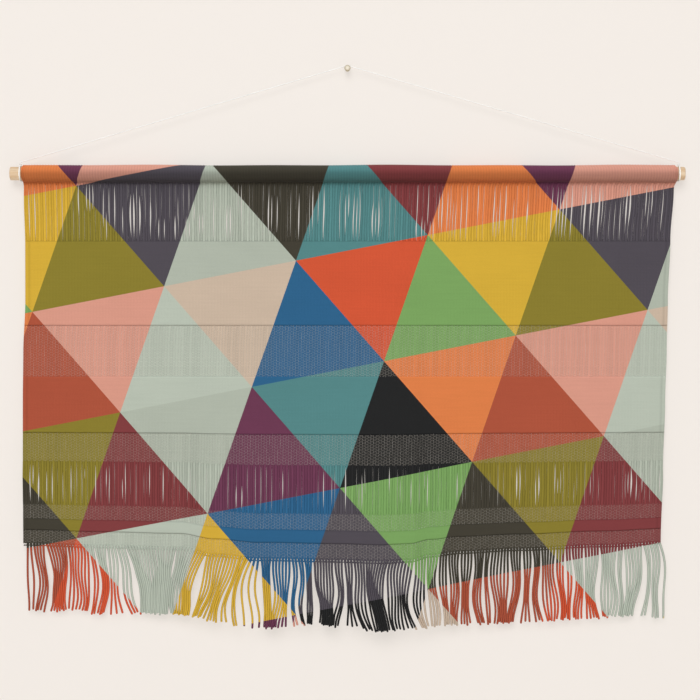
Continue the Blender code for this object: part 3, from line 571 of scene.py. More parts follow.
def pocket(finish):
    """The cloth's course round the dowel as a ribbed shell: straight up behind, an arc over the top and down
    the front, and a small arc the other way into the panel. A rib stands over each warp end. The front has
    painted light and shade: palest on top, painted darker down to the crease and darkest in the crease,
    with ribs painted lighter than the grooves between them."""
    rib_height, rim_share, cut_edge_share = 0.24 * MM, 0.7, 0.5
    half_thickness = CLOTH_THICKNESS / 2 - 0.1 * MM
    cut_edge_length, least_step = 0.4 * MM, 0.001 * MM
    # Painted light and shade: tones for the ribs and grooves, the crease, the lit top and how far it falls.
    rib_painted_light, groove_painted_shade, crease_painted_shade = 1.05, 0.90, 0.70
    top_painted_light, painted_shade_fall = 1.16, 0.51
    wander_most, short_wave, long_wave = 0.40 * MM, 23 * MM, 61 * MM

    turning = PANEL_SETBACK + CLOTH_THICKNESS + CLEARANCE
    leaving = math.acos(turning / POCKET_RADIUS)
    turns = np.linspace(leaving, -1.5 * math.pi, 34)
    bend = np.linspace(0.5 * math.pi, 0.0, 6)
    flat_from = POCKET_RADIUS * math.sin(leaving) + TURNING_STRAIGHT
    behind = [TURNING_END, TURNING_END - cut_edge_length, flat_from]
    into_panel = POCKET_RADIUS + CREASE_RADIUS - CREASE_RADIUS * np.sin(bend)
    depth = np.concatenate([behind, POCKET_RADIUS * np.sin(turns), into_panel])
    into_panel = CREASE_SETBACK + CREASE_RADIUS * np.cos(bend)
    setback = np.concatenate([[turning] * 3, POCKET_RADIUS * np.cos(turns), into_panel])
    apart = np.hypot(np.diff(setback), np.diff(depth)) > least_step
    setback, depth = setback[np.append(True, apart)], depth[np.append(True, apart)]
    course = unit(np.stack([np.gradient(setback), -np.gradient(depth)], axis=-1))
    out_y, out_z = course[:, 1:], -course[:, :1]

    shares = np.sort(np.concatenate([[0.0], ENDS, BETWEEN_ENDS, [1.0]]))
    on_end = np.isin(shares, ENDS)
    across = across_at(shares, depth[:, None])
    rim = thinned(len(shares), rim_share)
    along_cut = np.ones(len(depth))
    along_cut[0] = cut_edge_share
    half = half_thickness * rim * along_cut[:, None]
    wander = wander_most * np.sin(across / short_wave) * np.sin(across / long_wave + 1.0)
    rib = np.where(on_end, rib_height, -rib_height)
    reach = half + rib * rim + np.where(out_z > 0.2, wander, 0.0)
    centre_y = (setback - DOWEL_STANDOFF)[:, None]
    centre_z = (-DOWEL_DROP - depth)[:, None]
    front = np.stack([across, centre_y + out_y * reach, centre_z + out_z * reach], axis=-1)
    back = np.stack([across, centre_y - out_y * half, centre_z - out_z * half], axis=-1)
    # Painted light and shade on the front: painted light on top, painted shade growing down to the crease
    # and deepest in the crease; ribs are painted lighter than the grooves between them.
    painted_darkening = ease((depth + POCKET_RADIUS) / (1.25 * POCKET_RADIUS)) ** 1.5
    painted_face_shading = np.where(depth > POCKET_RADIUS, crease_painted_shade, top_painted_light - painted_shade_fall * painted_darkening)
    tone = np.where(on_end, rib_painted_light, groove_painted_shade) * painted_face_shading[:, None]
    length = float(np.hypot(np.diff(setback), np.diff(depth)).sum())
    hung_band("pocket", shell_arrays(front, back, tone), finish, length)


def plain_band(name, top, bottom, finish, top_edge_painted_shading, bottom_edge_painted_shading):
    """Closely beaten plain weave as a shell on the panel, half the thickness to each side. Its face rises
    and falls by a rib's height from row to row, two rows to a rib, more or less along the row. Its edges
    are rounded, and a darker line runs down beside each selvedge. Its top and bottom two rows are painted
    darker as painted shade, or lighter as a painted highlight where their value is above 1."""
    half_thickness, rib_height = 0.62 * MM, 0.045 * MM
    inset, edge_share, rim_share = 0.02 * MM, 0.45, 0.4
    line_from_edge, line_reach, line_tone = 4.4 * MM, 1.0 * MM, 0.86
    unevenness = 0.6

    ribs = int(round((bottom - top) / RIB_PITCH))
    depth = np.linspace(top, bottom, 2 * ribs + 1)
    depth[[0, -1]] = top + inset, bottom - inset
    shares = np.concatenate([[0.0], ENDS, [1.0]])
    across = across_at(shares, depth[:, None])
    rng = np.random.default_rng(int(top / MM))
    rib = alternating(len(depth))[:, None] * rib_height
    uneven = 1 + unevenness * noise_lines(rng, len(depth), shares, 5)
    half = half_thickness + rib * uneven
    half = half * thinned(len(depth), edge_share)[:, None] * thinned(len(shares), rim_share)
    middle = panel(across, depth[:, None])
    outward = half[..., None] * FRONT
    # Painted shade along the band's top and bottom edges: values below 1 darken the two rows there, and a
    # value above 1 is a painted highlight.
    tone = np.ones(len(depth))
    tone[:2] = top_edge_painted_shading
    tone[-2:] = bottom_edge_painted_shading
    from_edge = np.minimum(shares, 1 - shares) * CLOTH_WIDTH
    tone = tone[:, None] * np.where(np.abs(from_edge - line_from_edge) < line_reach, line_tone, 1.0)
    arrays = shell_arrays(middle + outward, middle - outward, tone)
    hung_band(name, arrays, finish, flat_length(top, bottom))


def slit_list(groups, share, top, bottom):
    """Each slit of the groups as (across, upper end, lower end, share of its width) in metres."""
    height = bottom - top
    found = []
    for group in groups:
        for across in np.linspace(group["start"], group["end"], group["count"]):
            upper, lower = top + group["top"] * height, top + group["bottom"] * height
            found.append((across * MM, upper, lower, share * group["width"] * MM))
    return found


def fine_slits(rng, count, top, bottom):
    """Short hair-fine slits at random places, as (across, upper end, lower end, width) in metres."""
    across = rng.uniform(-280, 272, count) * MM
    middle = top + rng.uniform(0.15, 0.85, count) * (bottom - top)
    half = rng.uniform(0.35, 0.65, count) * (bottom - top)
    upper, lower = np.maximum(middle - half, top), np.minimum(middle + half, bottom)
    return list(zip(across, upper, lower, rng.uniform(0.22, 0.55, count) * MM))


def open_warp(name, top, bottom, groups, share, fine, painted_shadow, finish):
    """Warp with the weft left out: one flat tube for each end. A slit lies between its two nearest ends and
    pushes all ends away by half its width times a sine lens down its length, dying away with distance. The
    yarns may carry a painted shadow near the upper end, by exp(-distance / shadow length). Ends set back
    are painted darker and ends in front lighter: painted shade and painted light."""
    overlap, painted_shadow_length = 0.8 * MM, 12 * MM
    half_width, selvedge_half_width, half_depth = 1.25 * MM, 0.78 * MM, 0.58 * MM
    push_from, push_fading, squeeze = 1.4 * MM, 4.5 * MM, 0.04
    aside_most, wander = 0.20 * MM, 0.07 * MM
    # The last of these is painted light on ends in front and painted shade on ends set back.
    swing, swing_wander, swing_painted_shade = 0.12 * MM, 0.05 * MM, 0.05
    steps = 17

    along = np.linspace(0.0, 1.0, steps)
    depth = top - overlap + along * (bottom - top + 2 * overlap)
    base = across_at(ENDS[:, None], depth)
    rng = np.random.default_rng(int(top / MM) + 7)
    held = np.sin(math.pi * along) ** 0.6
    aside = aside_most * rng.uniform(-1.0, 1.0, (len(ENDS), 1)) * ~AT_SELVEDGE
    across = base + held * (aside + wander * noise_lines(rng, len(ENDS), along, 1))
    room = np.ones_like(across)
    slits = slit_list(groups, share, top, bottom) + fine_slits(rng, fine, top, bottom)
    for place, upper, lower, width in slits:
        before = np.clip(np.searchsorted(base[:, steps // 2], place) - 1, 2, len(ENDS) - 3)
        offset = base - (base[before] + base[before + 1]) / 2
        lens = np.sin(math.pi * np.clip((depth - upper) / (lower - upper), 0.0, 1.0))
        fading = np.exp(-np.maximum(np.abs(offset) - push_from, 0.0) / push_fading)
        across += np.sign(offset) * lens * fading * width / 2
        room -= squeeze * lens * fading
    path = panel(across, depth)
    path[..., 1] += swing * ALTERNATELY + swing_wander * noise_lines(rng, len(ENDS), along)
    # Painted light and shade on ends in front and set back, and a painted shadow under the band's upper end.
    tone = (1 - swing_painted_shade * ALTERNATELY) * (1 - painted_shadow * np.exp((top - depth) / painted_shadow_length))
    width = np.where(AT_SELVEDGE, selvedge_half_width, half_width) * room
    arrays = yarn_arrays(path, FRONT, width, half_depth, tone=tone)
    hung_band(name, arrays, finish, flat_length(top, bottom))


def gauze_band(name, top, bottom, finish, gap=0.0):
    """Open plain weave of separate yarns. Warp ends and picks pass in front of and behind each other in
    turn: each one's distance from the panel changes sign from crossing to crossing, the picks' more than
    the stiffer ends'. A pick is paler where it lies in front. Ends are painted a little darker than picks,
    and both are painted darker where they lie behind and lighter in front: painted shade and painted
    light. The lower end may keep a gap without picks."""
    end_half_width, selvedge_half_width, end_half_depth = 1.17 * MM, 0.72 * MM, 0.20 * MM
    pick_half_share, pick_half_depth = 0.28, 0.13 * MM
    end_swing, pick_swing = 0.10 * MM, 0.27 * MM
    end_wander, pick_wander, unevenness = 0.06 * MM, 0.10 * MM, 0.04
    # Painted shade on the ends, and painted light and shade by whether a yarn lies in front or behind.
    end_painted_shade, swing_painted_shade = 0.96, 0.05

    picks = int(round((bottom - top - gap) / PICK_PITCH))
    pitch = (bottom - top - gap) / picks
    rng = np.random.default_rng(int(top / MM) + 3)
    depth = np.concatenate([[top], top + (np.arange(picks) + 0.5) * pitch, [bottom]])
    along = np.linspace(0.0, 1.0, len(depth))
    across = across_at(ENDS[:, None], depth) + end_wander * noise_lines(rng, len(ENDS), along, 2)
    over = ALTERNATELY * alternating(len(depth))
    over[:, [0, -1]] = 0.0
    warp = panel(across, depth)
    warp[..., 1] += end_swing * over
    width = np.where(AT_SELVEDGE, selvedge_half_width, end_half_width)
    width = width * (1 + unevenness * noise_lines(rng, len(ENDS), along))
    ends = yarn_arrays(warp, FRONT, width, end_half_depth, tone=end_painted_shade - swing_painted_shade * over)

    shares = np.concatenate([[0.0], ENDS, [1.0]])
    middle = depth[1:-1, None] + pick_wander * noise_lines(rng, picks, shares, 6)
    weft = panel(across_at(shares, middle), middle)
    under = np.pad(-over[:, 1:-1].T, ((0, 0), (1, 1)))
    weft[..., 1] += pick_swing * under
    in_front = np.clip(-under, 0.0, 1.0)
    # Picks in front are painted lighter: painted light.
    tone, pale = 1.0 + swing_painted_shade * in_front, GAUZE_PALE * in_front
    wefts = yarn_arrays(weft, FRONT, pick_half_share * pitch, pick_half_depth, 4, tone=tone, pale=pale)
    hung_band(name, joined(ends, wefts), finish, flat_length(top, bottom))


def twined_row(name, depth, thick, finish, slot, node):
    """Two threads that cross between neighbouring ends, one in front of each end and one behind it: their
    distances from the panel are opposite waves."""
    clear_of_ends = 0.50 * MM
    shares = np.sort(np.concatenate([ENDS, BETWEEN_ENDS]))
    across = across_at(shares, depth)
    wave = np.interp(shares, ENDS, alternating(len(ENDS)))
    groups = []
    for sign in (-1.0, 1.0):
        path = panel(across, depth + sign * 0.25 * thick * (1 - np.abs(wave)))
        path[..., 1] += sign * wave * (clear_of_ends + thick / 2)
        groups.append(yarn_arrays(path[None], FRONT, thick / 2, thick * 0.42))
    make_piece(name, *joined(*groups), finish, slot, [node])


def sway(roots, level):
    """A small sideways wave of the fringe: a wide and a narrow sine of the root's place that turn as they go
    down, times how far down they are."""
    long_wave, short_wave = 53 * MM, 27 * MM
    wide = np.sin(2 * math.pi * (roots / long_wave + 0.9 * level))
    narrow = np.sin(2 * math.pi * (roots / short_wave - 1.1 * level) + 1.0)
    return FRINGE_SWAY * level**0.7 * (0.6 * wide + 0.4 * narrow)


def parted(roots, level):
    """Where each strand is across at a level from 0 at the hem to 1 at the tips. A parting's shift and
    opening follow a parabola through their values halfway down and at the tips. Strands between share the
    room, and crowded neighbours push each other aside until they have their least spacing."""
    nearly_closed = 0.01
    bow = 4 * level * (1 - level)
    fall = level * level
    places, shifts = [roots[0]], [0.0]
    for parting in PARTINGS:
        open_mid, open_tip = parting["mid_open"] / 2, parting["tip_open"] / 2
        shift = (parting["mid"] - 0.25 * parting["tip"]) * bow + parting["tip"] * fall
        half = (open_mid - 0.25 * open_tip) * bow + open_tip * fall
        for side in (-1, 1):
            places.append((parting["root"] + side * nearly_closed) * MM)
            shifts.append((shift + side * half) * MM)
    places.append(roots[-1])
    shifts.append(shifts[-1])
    across = roots + np.interp(roots, places, shifts) + sway(roots, level)
    for _ in range(SPREADING_ROUNDS):
        short = np.maximum(STRAND_SPACING_LEAST - np.diff(across), 0.0)
        across[:-1] -= short / 2
        across[1:] += short / 2
    return across


def fringe(finish):
    """The warp's own ends below the hem, one tube each, on the parted courses. Where they crowd, every
    second one comes forward so that they overlap as a lock does. They are widest at the hem, by an
    exponential, and the cut tips narrow a little."""
    easy_spacing, crowded_by = 2.6 * MM, 1.0 * MM
    half_width, hem_swelling, half_depth = 0.94 * MM, 0.28 * MM, 0.60 * MM
    hem_length = 0.10  # as a share of the fringe, like the levels
    tip_from, tip_share = 0.985, 0.72
    wander, overlap, depth_wander, unevenness = 0.22 * MM, 0.25 * MM, 0.5 * MM, 0.08
    behind_hem, tip_wave, shortest, longest = 1.0 * MM, 0.8 * MM, -0.2, 1.0

    roots = np.linspace(FRINGE_LEFT, FRINGE_RIGHT, STRAND_COUNT)
    levels = np.append(np.linspace(0.0, tip_from, 15), 1.0)
    across = np.stack([parted(roots, level) for level in levels], axis=1)
    rng = np.random.default_rng(41)
    across += wander * levels * noise_lines(rng, STRAND_COUNT, levels, 2)
    root = panel(roots, HEM_DEPTH - behind_hem)
    tips = -DOWEL_DROP - read_table(TIPS, "across", "depth", across[:, -1])
    cut = rng.uniform(shortest, longest, STRAND_COUNT) * MM
    tips += tip_wave * np.sin(2.1 * np.arange(STRAND_COUNT)) + cut
    height = root[:, 2:] + levels * (tips[:, None] - root[:, 2:])
    crowding = np.clip((easy_spacing - np.gradient(across, axis=0)) / crowded_by, 0.0, 1.0) * levels
    forward = root[:, 1:2] + overlap * alternating(STRAND_COUNT)[:, None] * crowding
    forward = forward + depth_wander * levels * noise_lines(rng, STRAND_COUNT, levels)
    path = np.stack([across, forward, height], axis=-1)
    width = half_width + hem_swelling * np.exp(-levels / hem_length)
    width = width * (1 + unevenness * noise_lines(rng, STRAND_COUNT, levels))
    width[:, -1] *= tip_share
    arrays = yarn_arrays(path, FRONT, width, half_depth, sides=8)
    make_piece("fringe_strands", *arrays, finish, "fringe_cotton", ["fringe"])


def pocket_stitches(finish):
    """A row of long slanted stitches behind the pocket that hold its turned-in edge to the panel: straight
    courses that arch backwards by a sine."""
    count, length, fall, arch = 92, 3.4 * MM, 2.9 * MM, 0.55 * MM
    above_edge, from_left, from_right = 1.7 * MM, 4 * MM, 6 * MM
    half_width, half_depth = 0.36 * MM, 0.30 * MM
    along = np.linspace(0.0, 1.0, 7)
    left, right = edges_at(TURNING_END)
    across = np.linspace(left + from_left, right - from_right, count)[:, None] + length * along
    height = -DOWEL_DROP - (TURNING_END - above_edge + fall * along)
    on_cloth = PANEL_SETBACK - DOWEL_STANDOFF + CLOTH_THICKNESS * (1.05 - 0.55 * along)
    behind = on_cloth + arch * np.sin(math.pi * along)
    path = np.stack(np.broadcast_arrays(across, behind, height), axis=-1)
    arrays = yarn_arrays(path, -FRONT, half_width, half_depth)
    make_piece("pocket_stitches", *arrays, finish, "printed_cotton", ["cloth"])


def smooth_route(route, step):
    """Points every step along a Catmull-Rom curve through the route's own points."""
    points = np.array(route) * MM
    padded = np.vstack([2 * points[0] - points[1], points, 2 * points[-1] - points[-2]])
    spans = np.linalg.norm(np.diff(padded, axis=0), axis=1)
    made = [points[:1]]
    for k in range(len(points) - 1):
        before, start, end, after = padded[k : k + 4]
        d0, d1, d2 = spans[k : k + 3]
        leave = (start - before) / d0 - (end - before) / (d0 + d1) + (end - start) / d1
        arrive = (end - start) / d1 - (after - start) / (d1 + d2) + (after - end) / d2
        t = np.linspace(0.0, 1.0, max(int(d1 / step), 1) + 1)[1:, None]
        made.append(
            (2 * t**3 - 3 * t**2 + 1) * start
            + (t**3 - 2 * t**2 + t) * d1 * leave
            + (3 * t**2 - 2 * t**3) * end
            + (t**3 - t**2) * d1 * arrive
        )
    return np.concatenate(made)


def hanging_cord(finish):
    """The cord as a two-ply tube along its route."""
    path = smooth_route(CORD_ROUTE, CORD_STEP)
    radius = 0.94 * CORD_DIAMETER / 2  # its plies swell it to the full diameter
    arrays = yarn_arrays(path[None], FRONT, radius, radius, 8, 0.14, CORD_TWIST)
    piece = make_piece("cotton_cord", *arrays, finish, "cotton_cord", ["hanging_cord"])


def hitch(name, across, node, finish):
    """Two and a half turns of cord round the dowel, a helix, and a small overhand knot on top, a trefoil."""
    coil_radius, half_coil, knot_radius = 0.47 * MM, 0.42 * MM, 0.44 * MM
    knot_size, knot_rise = 0.30 * MM, 1.15 * MM
    turn = np.linspace(-0.5 * math.pi, 4.5 * math.pi, 90)
    radius = DOWEL_RADIUS + CLEARANCE + 0.5 * CORD_DIAMETER
    out = np.stack([np.zeros_like(turn), np.cos(turn), np.sin(turn)], axis=-1)
    centre = np.array([across, -DOWEL_STANDOFF, -DOWEL_DROP])
    path = centre + radius * out
    path[:, 0] += np.linspace(-half_coil, half_coil, len(turn))
    coil = yarn_arrays(path[None], out[None], coil_radius, coil_radius, 8, 0.10, CORD_TWIST)
    t = np.linspace(0.0, 2 * math.pi, 60)
    leaves = [np.sin(t) + 2 * np.sin(2 * t), 0.8 * np.sin(3 * t), np.cos(t) - 2 * np.cos(2 * t)]
    loop = np.stack(leaves, axis=-1)
    knot = centre + np.array([0.0, 0.0, radius + knot_rise]) + loop * knot_size
    tied = yarn_arrays(knot[None], unit(loop)[None], knot_radius, knot_radius, 8)
    make_piece(name, *joined(coil, tied), finish, "cotton_cord", [node])


def turned(outline, sides):
    """A body turned about X. The outline is a list of (along, radius), and flat faces close its two ends."""
    along, radius = np.array(outline).T[..., None]
    turn = np.arange(sides) * 2 * math.pi / sides
    rings = np.stack(np.broadcast_arrays(along, radius * np.cos(turn), radius * np.sin(turn)), axis=-1)
    return rings.reshape(-1, 3), tube_quads(1, len(outline), sides)


def dowel(finish):
    """The rod as a turned body along X, with worn round ends: a quarter arc from side to end face."""
    rounding = 1.0 * MM
    reach = DOWEL_HIGH.x
    flat_radius = DOWEL_RADIUS - rounding
    arc = np.linspace(0.0, math.pi / 2, 6)
    end = [(reach - rounding + rounding * math.sin(a), flat_radius + rounding * math.cos(a)) for a in arc]
    end = [(x, DOWEL_RADIUS) for x in (0.0, reach / 2)] + end + [(reach, flat_radius / 2)]
    outline = [(-x, radius) for x, radius in end[:0:-1]] + end
    points, quads = turned(outline, 64)
    points = points + np.array([0.0, -DOWEL_STANDOFF, -DOWEL_DROP])
    blank = np.zeros_like(points)
    make_piece("wooden_dowel", points, quads, blank[:, 0], blank, finish, "pale_wood", ["dowel"])


def nail(finish):
    """The nail as a turned body along -Y: shank, the head's underside, its rim and a low dome."""
    shank, head, edge = 2.0 * MM, 2.8 * MM, 0.3 * MM
    length, rim, dome = 9.0 * MM, 0.7 * MM, 1.5 * MM
    arc = np.linspace(0.0, math.pi / 2, 9)[:-1]
    outline = [(0.0, shank / 2), (0.0, shank), (length - edge, shank), (length, shank + edge)]
    outline += [(length + 0.2 * MM, head - edge / 2), (length + 0.35 * MM, head)]
    outline += [(length + rim + dome * math.sin(a), head * math.cos(a)) for a in arc]
    points, quads = turned(outline, 40)
    points = np.stack([points[:, 1], -points[:, 0], points[:, 2]], axis=-1)
    blank = np.zeros_like(points)
    make_piece("round_nail", points, quads, blank[:, 0], blank, finish, "pale_brass", ["nail"])


# Materials


def feed(tree, socket, value):
    """Gives a socket its value: a link if that is a level or a socket, or else the number or colour."""
    value = getattr(value, "socket", value)
    if isinstance(value, bpy.types.NodeSocket):
        tree.links.new(value, socket)
    else:
        socket.default_value = value


def add_node(tree, kind, inputs, **settings):
    """A shader node of that kind with its settings, and its inputs fed by name or number."""
    node = tree.nodes.new("ShaderNode" + kind)
    for name, value in settings.items():
        setattr(node, name, value)
    for name, value in inputs.items():
        feed(tree, node.inputs[name], value)
    return node


class Level:
    """A number that changes over a surface, from one socket. Arithmetic on it adds math nodes."""

    def __init__(self, tree, socket):
        self.tree = tree
        self.socket = socket

    def by(self, operation, *others):
        """The level after one math operation, with other levels or numbers."""
        inputs = dict(enumerate((self, *others)))
        return Level(self.tree, add_node(self.tree, "Math", inputs, operation=operation).outputs[0])

    def __add__(self, other):
        return self.by("ADD", other)

    def __sub__(self, other):
        return self.by("SUBTRACT", other)

    def __mul__(self, other):
        return self.by("MULTIPLY", other)

    def __truediv__(self, other):
        return self.by("DIVIDE", other)

    __radd__ = __add__
    __rmul__ = __mul__


def parts_of(tree, vector):
    """A vector's three parts as levels."""
    return [Level(tree, part) for part in add_node(tree, "SeparateXYZ", {0: vector}).outputs]


def noise(tree, vector, waves, detail=2.0):
    """Plain noise around 0.5, with so many waves to the metre along each axis."""
    stretched = add_node(tree, "VectorMath", {0: vector, 1: waves}, operation="MULTIPLY")
    inputs = {"Vector": stretched.outputs[0], "Scale": 1.0, "Detail": detail}
    return Level(tree, add_node(tree, "TexNoise", inputs).outputs["Fac"])


def mixed(tree, kind, factor, first, second):
    """A mix of two colours of that kind. A colour mix has its factor, colours and result at these places."""
    inputs = {0: factor, 6: first, 7: second}
    return add_node(tree, "Mix", inputs, data_type="RGBA", blend_type=kind).outputs[2]


def ramp(tree, level, stops, blending="LINEAR"):
    """The colour at a level, from stops of (level, colour code)."""
    node = add_node(tree, "ValToRGB", {0: level})
    node.color_ramp.interpolation = blending
    elements = node.color_ramp.elements
    while len(elements) < len(stops):
        elements.new(0.5)
    for k, (place, code) in enumerate(stops):
        elements[k].position = place
        elements[k].color = linear(code)
    return node.outputs[0]


def new_group(title, inputs, outputs):
    """An empty shader group with named inputs and outputs, a vector where an input has no number, and the
    sockets inside it that give the inputs and take the result."""
    group = bpy.data.node_groups.new(title, "ShaderNodeTree")
    for name, value in inputs.items():
        kind = "NodeSocketVector" if value is None else "NodeSocketFloat"
        socket = group.interface.new_socket(name, in_out="INPUT", socket_type=kind)
        if value is not None:
            socket.default_value = value
    for name, kind in outputs.items():
        group.interface.new_socket(name, in_out="OUTPUT", socket_type=kind)
    return group, group.nodes.new("NodeGroupInput").outputs, group.nodes.new("NodeGroupOutput").inputs


def print_group():
    """Rows of plain triangles. In a row, the place across over the triangle's width, plus half the row's
    number and half the height in the row, gives a slanted cell. The two triangles in a cell part where the
    cell's share equals the height. Cell, row and half together choose the colour."""
    group, given, result = new_group("printed rows", {"Place": None}, {"Colour": "NodeSocketColor"})
    inputs = {"Vector": given["Place"], "Angle": PRINT_SLANT}
    slanted = add_node(group, "VectorRotate", inputs, rotation_type="Z_AXIS").outputs[0]
    across, down, _ = parts_of(group, slanted)
    rows_down = (down - ROW_START) / ROW_HEIGHT
    row, height = rows_down.by("FLOOR"), rows_down.by("FRACT")
    cells_across = across / TRIANGLE_WIDTH + 0.5 * row + 0.5 * height
    half = cells_across.by("FRACT").by("GREATER_THAN", height)
    number = 3.0 * cells_across.by("FLOOR") + 5.0 * row + 7.0 * half
    count = len(PRINT_COLOURS)
    chosen = (number.by("FLOORED_MODULO", float(count)) + 0.5) / float(count)
    stops = [(k / count, code) for k, code in enumerate(PRINT_COLOURS.values())]
    feed(group, result["Colour"], ramp(group, chosen, stops, "CONSTANT"))
    return group


def cotton_group():
    """Cotton fibres along a yarn: fine noise stretched along it, a slanting ply wave, a slow change of tone,
    and painted shade on its sides, where it lies in the groove beside its neighbour."""
    group, given, result = new_group(
        "cotton fibres",
        {"Thread": None, "Ply length": 4 * MM, "Painted groove shade": 0.25},
        {"Height": "NodeSocketFloat", "Tone": "NodeSocketFloat"},
    )
    along, side, tone = parts_of(group, given["Thread"])
    fibres = noise(group, given["Thread"], (700.0, 3.0, 310.0), 3.0)
    slow = noise(group, given["Thread"], (60.0, 0.0, 500.0))
    ply = ((along / given["Ply length"] + 0.4 * side) * (2 * math.pi)).by("SINE")
    feed(group, result["Height"], fibres + 0.35 * ply)
    # Painted shade on the yarn's sides, where it lies in the groove beside its neighbour.
    shade = side * side * given["Painted groove shade"]
    feed(group, result["Tone"], (0.90 + 0.18 * slow + 0.14 * fibres - shade) * tone)
    return group


def weave_group():
    """Close plain weave: crossing sine waves of warp and weft, broken up by noise along the picks, with
    streaks and clouds of tone."""
    group, given, result = new_group(
        "plain weave",
        {"Thread": None, "End pitch": 2.8 * MM},
        {"Height": "NodeSocketFloat", "Tone": "NodeSocketFloat"},
    )
    across, height, tone = parts_of(group, given["Thread"])
    ends = (across / given["End pitch"] * math.pi).by("SINE")
    picks = (height / RIB_PITCH * math.pi).by("COSINE")
    crossings = (ends * picks).by("ABSOLUTE")
    fibres = noise(group, given["Thread"], (600.0, 1400.0, 1.0), 3.0)
    streaks = noise(group, given["Thread"], (28.0, 520.0, 1.0))
    clouds = noise(group, given["Thread"], (14.0, 22.0, 1.0))
    feed(group, result["Height"], 0.6 * crossings + 0.6 * fibres)
    feed(group, result["Tone"], (0.84 + 0.09 * streaks + 0.12 * clouds + 0.12 * fibres) * tone)
    return group


def new_finish(title, roughness, sheen=0.0):
    """A material, its tree and its shader's inputs."""
    finish = bpy.data.materials.new(title)
    finish.use_nodes = True
    shader = finish.node_tree.nodes["Principled BSDF"]
    shader.inputs["Roughness"].default_value = roughness
    shader.inputs["Sheen Weight"].default_value = sheen
    shader.inputs["Specular IOR Level"].default_value = 0.12
    return finish, finish.node_tree, shader.inputs


def attribute(tree, title):
    """A point's stored vector."""
    return add_node(tree, "Attribute", {}, attribute_name=title).outputs["Vector"]


def add_bump(tree, shader, height, distance, strength):
    """Small relief from a height, as a bump of that distance and strength."""
    inputs = {"Height": height, "Distance": distance, "Strength": strength}
    feed(tree, shader["Normal"], add_node(tree, "Bump", inputs).outputs[0])


def yarn_surface(tree, shader, effect, values, colour, distance, strength):
    """An effect laid over a colour: its height as a bump, and as the result the colour times its tone."""
    surface = add_node(tree, "Group", {}, node_tree=effect)
    for name, value in {"Thread": attribute(tree, "thread"), **values}.items():
        feed(tree, surface.inputs[name], value)
    add_bump(tree, shader, surface.outputs["Height"], distance, strength)
    tone = add_node(tree, "CombineColor", {k: surface.outputs["Tone"] for k in range(3)})
    return mixed(tree, "MULTIPLY", 1.0, colour, tone.outputs[0])


def printed_cotton(title, effect, strength, values, worn=0.0):
    """Printed cotton: the print's colour times the yarn's tone, paler where it is worn or shows its back."""
    finish, tree, shader = new_finish(title, 0.95, 0.04)
    place = attribute(tree, "place")
    colour = add_node(tree, "Group", {}, node_tree=PRINT)
    feed(tree, colour.inputs["Place"], place)
    toned = yarn_surface(tree, shader, effect, values, colour.outputs["Colour"], 0.25 * MM, strength)
    paleness = parts_of(tree, place)[2] * (BACK_PALENESS - worn) + worn
    feed(tree, shader["Base Color"], mixed(tree, "MIX", paleness, toned, linear(UNDYED_COLOUR)))
    return finish


def cord_cotton():
    """Undyed cotton cord."""
    finish, tree, shader = new_finish("undyed cotton", 0.9, 0.3)
    values = {"Ply length": CORD_TWIST}
    toned = yarn_surface(tree, shader, COTTON, values, linear("fefefc"), 0.15 * MM, 0.4)
    feed(tree, shader["Base Color"], toned)
    return finish


def pale_wood():
    """Unvarnished pale wood: long narrow grain lines and short flecks along X, darker at the cut ends."""
    finish, tree, shader = new_finish("pale wood", 0.62)
    place = add_node(tree, "TexCoord", {}).outputs["Object"]
    grain = noise(tree, place, (9.0, 330.0, 330.0), 4.0)
    flecks = noise(tree, place, (160.0, 1500.0, 1500.0), 1.0).by("GREATER_THAN", 0.66)
    colour = ramp(tree, grain, [(0.30, "d2b18b"), (0.68, "e6d3b8")])
    colour = mixed(tree, "MIX", 0.25 * flecks, colour, linear("b98f60"))
    cut = parts_of(tree, place)[0].by("ABSOLUTE").by("GREATER_THAN", DOWEL_HIGH.x - 0.15 * MM)
    feed(tree, shader["Base Color"], mixed(tree, "MULTIPLY", 0.6 * cut, colour, linear("cda97c")))
    add_bump(tree, shader, grain, 0.12 * MM, 0.35)
    return finish


def pale_brass():
    """Dull brass with a painted highlight on the dome's top that fades to painted shade towards the rim."""
    finish, tree, shader = new_finish("dull brass", 0.75)
    shader["Metallic"].default_value = 0.15
    place = add_node(tree, "TexCoord", {}).outputs["Object"]
    wear = noise(tree, place, (900.0, 900.0, 900.0), 4.0)
    across, _, up = parts_of(tree, place)
    # Painted highlight on the middle of the dome, fading to painted shade at its rim.
    painted_highlight_falloff = (across * across + up * up).by("SQRT") / (3.2 * MM)
    colour = ramp(tree, painted_highlight_falloff + 0.25 * wear, [(0.35, "ece6d8"), (1.0, "bdb298")])
    feed(tree, shader["Base Color"], colour)
    feed(tree, shader["Roughness"], 0.66 + 0.2 * wear)
    add_bump(tree, shader, wear, 0.05 * MM, 0.3)
    return finish


def plain_pale(title, code, glow, clear_behind):
    """A plain pale paint that glows a little, which softens the shadows; its back may be clear."""
    finish, tree, shader = new_finish(title, 0.95)
    shader["Base Color"].default_value = linear(code)
    shader["Emission Color"].default_value = linear("f6f1eb")
    shader["Emission Strength"].default_value = glow
    if clear_behind:
        behind = add_node(tree, "NewGeometry", {}).outputs["Backfacing"]
        paint = tree.nodes["Principled BSDF"].outputs[0]
        clear = add_node(tree, "BsdfTransparent", {}).outputs[0]
        either = add_node(tree, "MixShader", {0: behind, 1: paint, 2: clear}).outputs[0]
        feed(tree, tree.nodes["Material Output"].inputs["Surface"], either)
    return finish


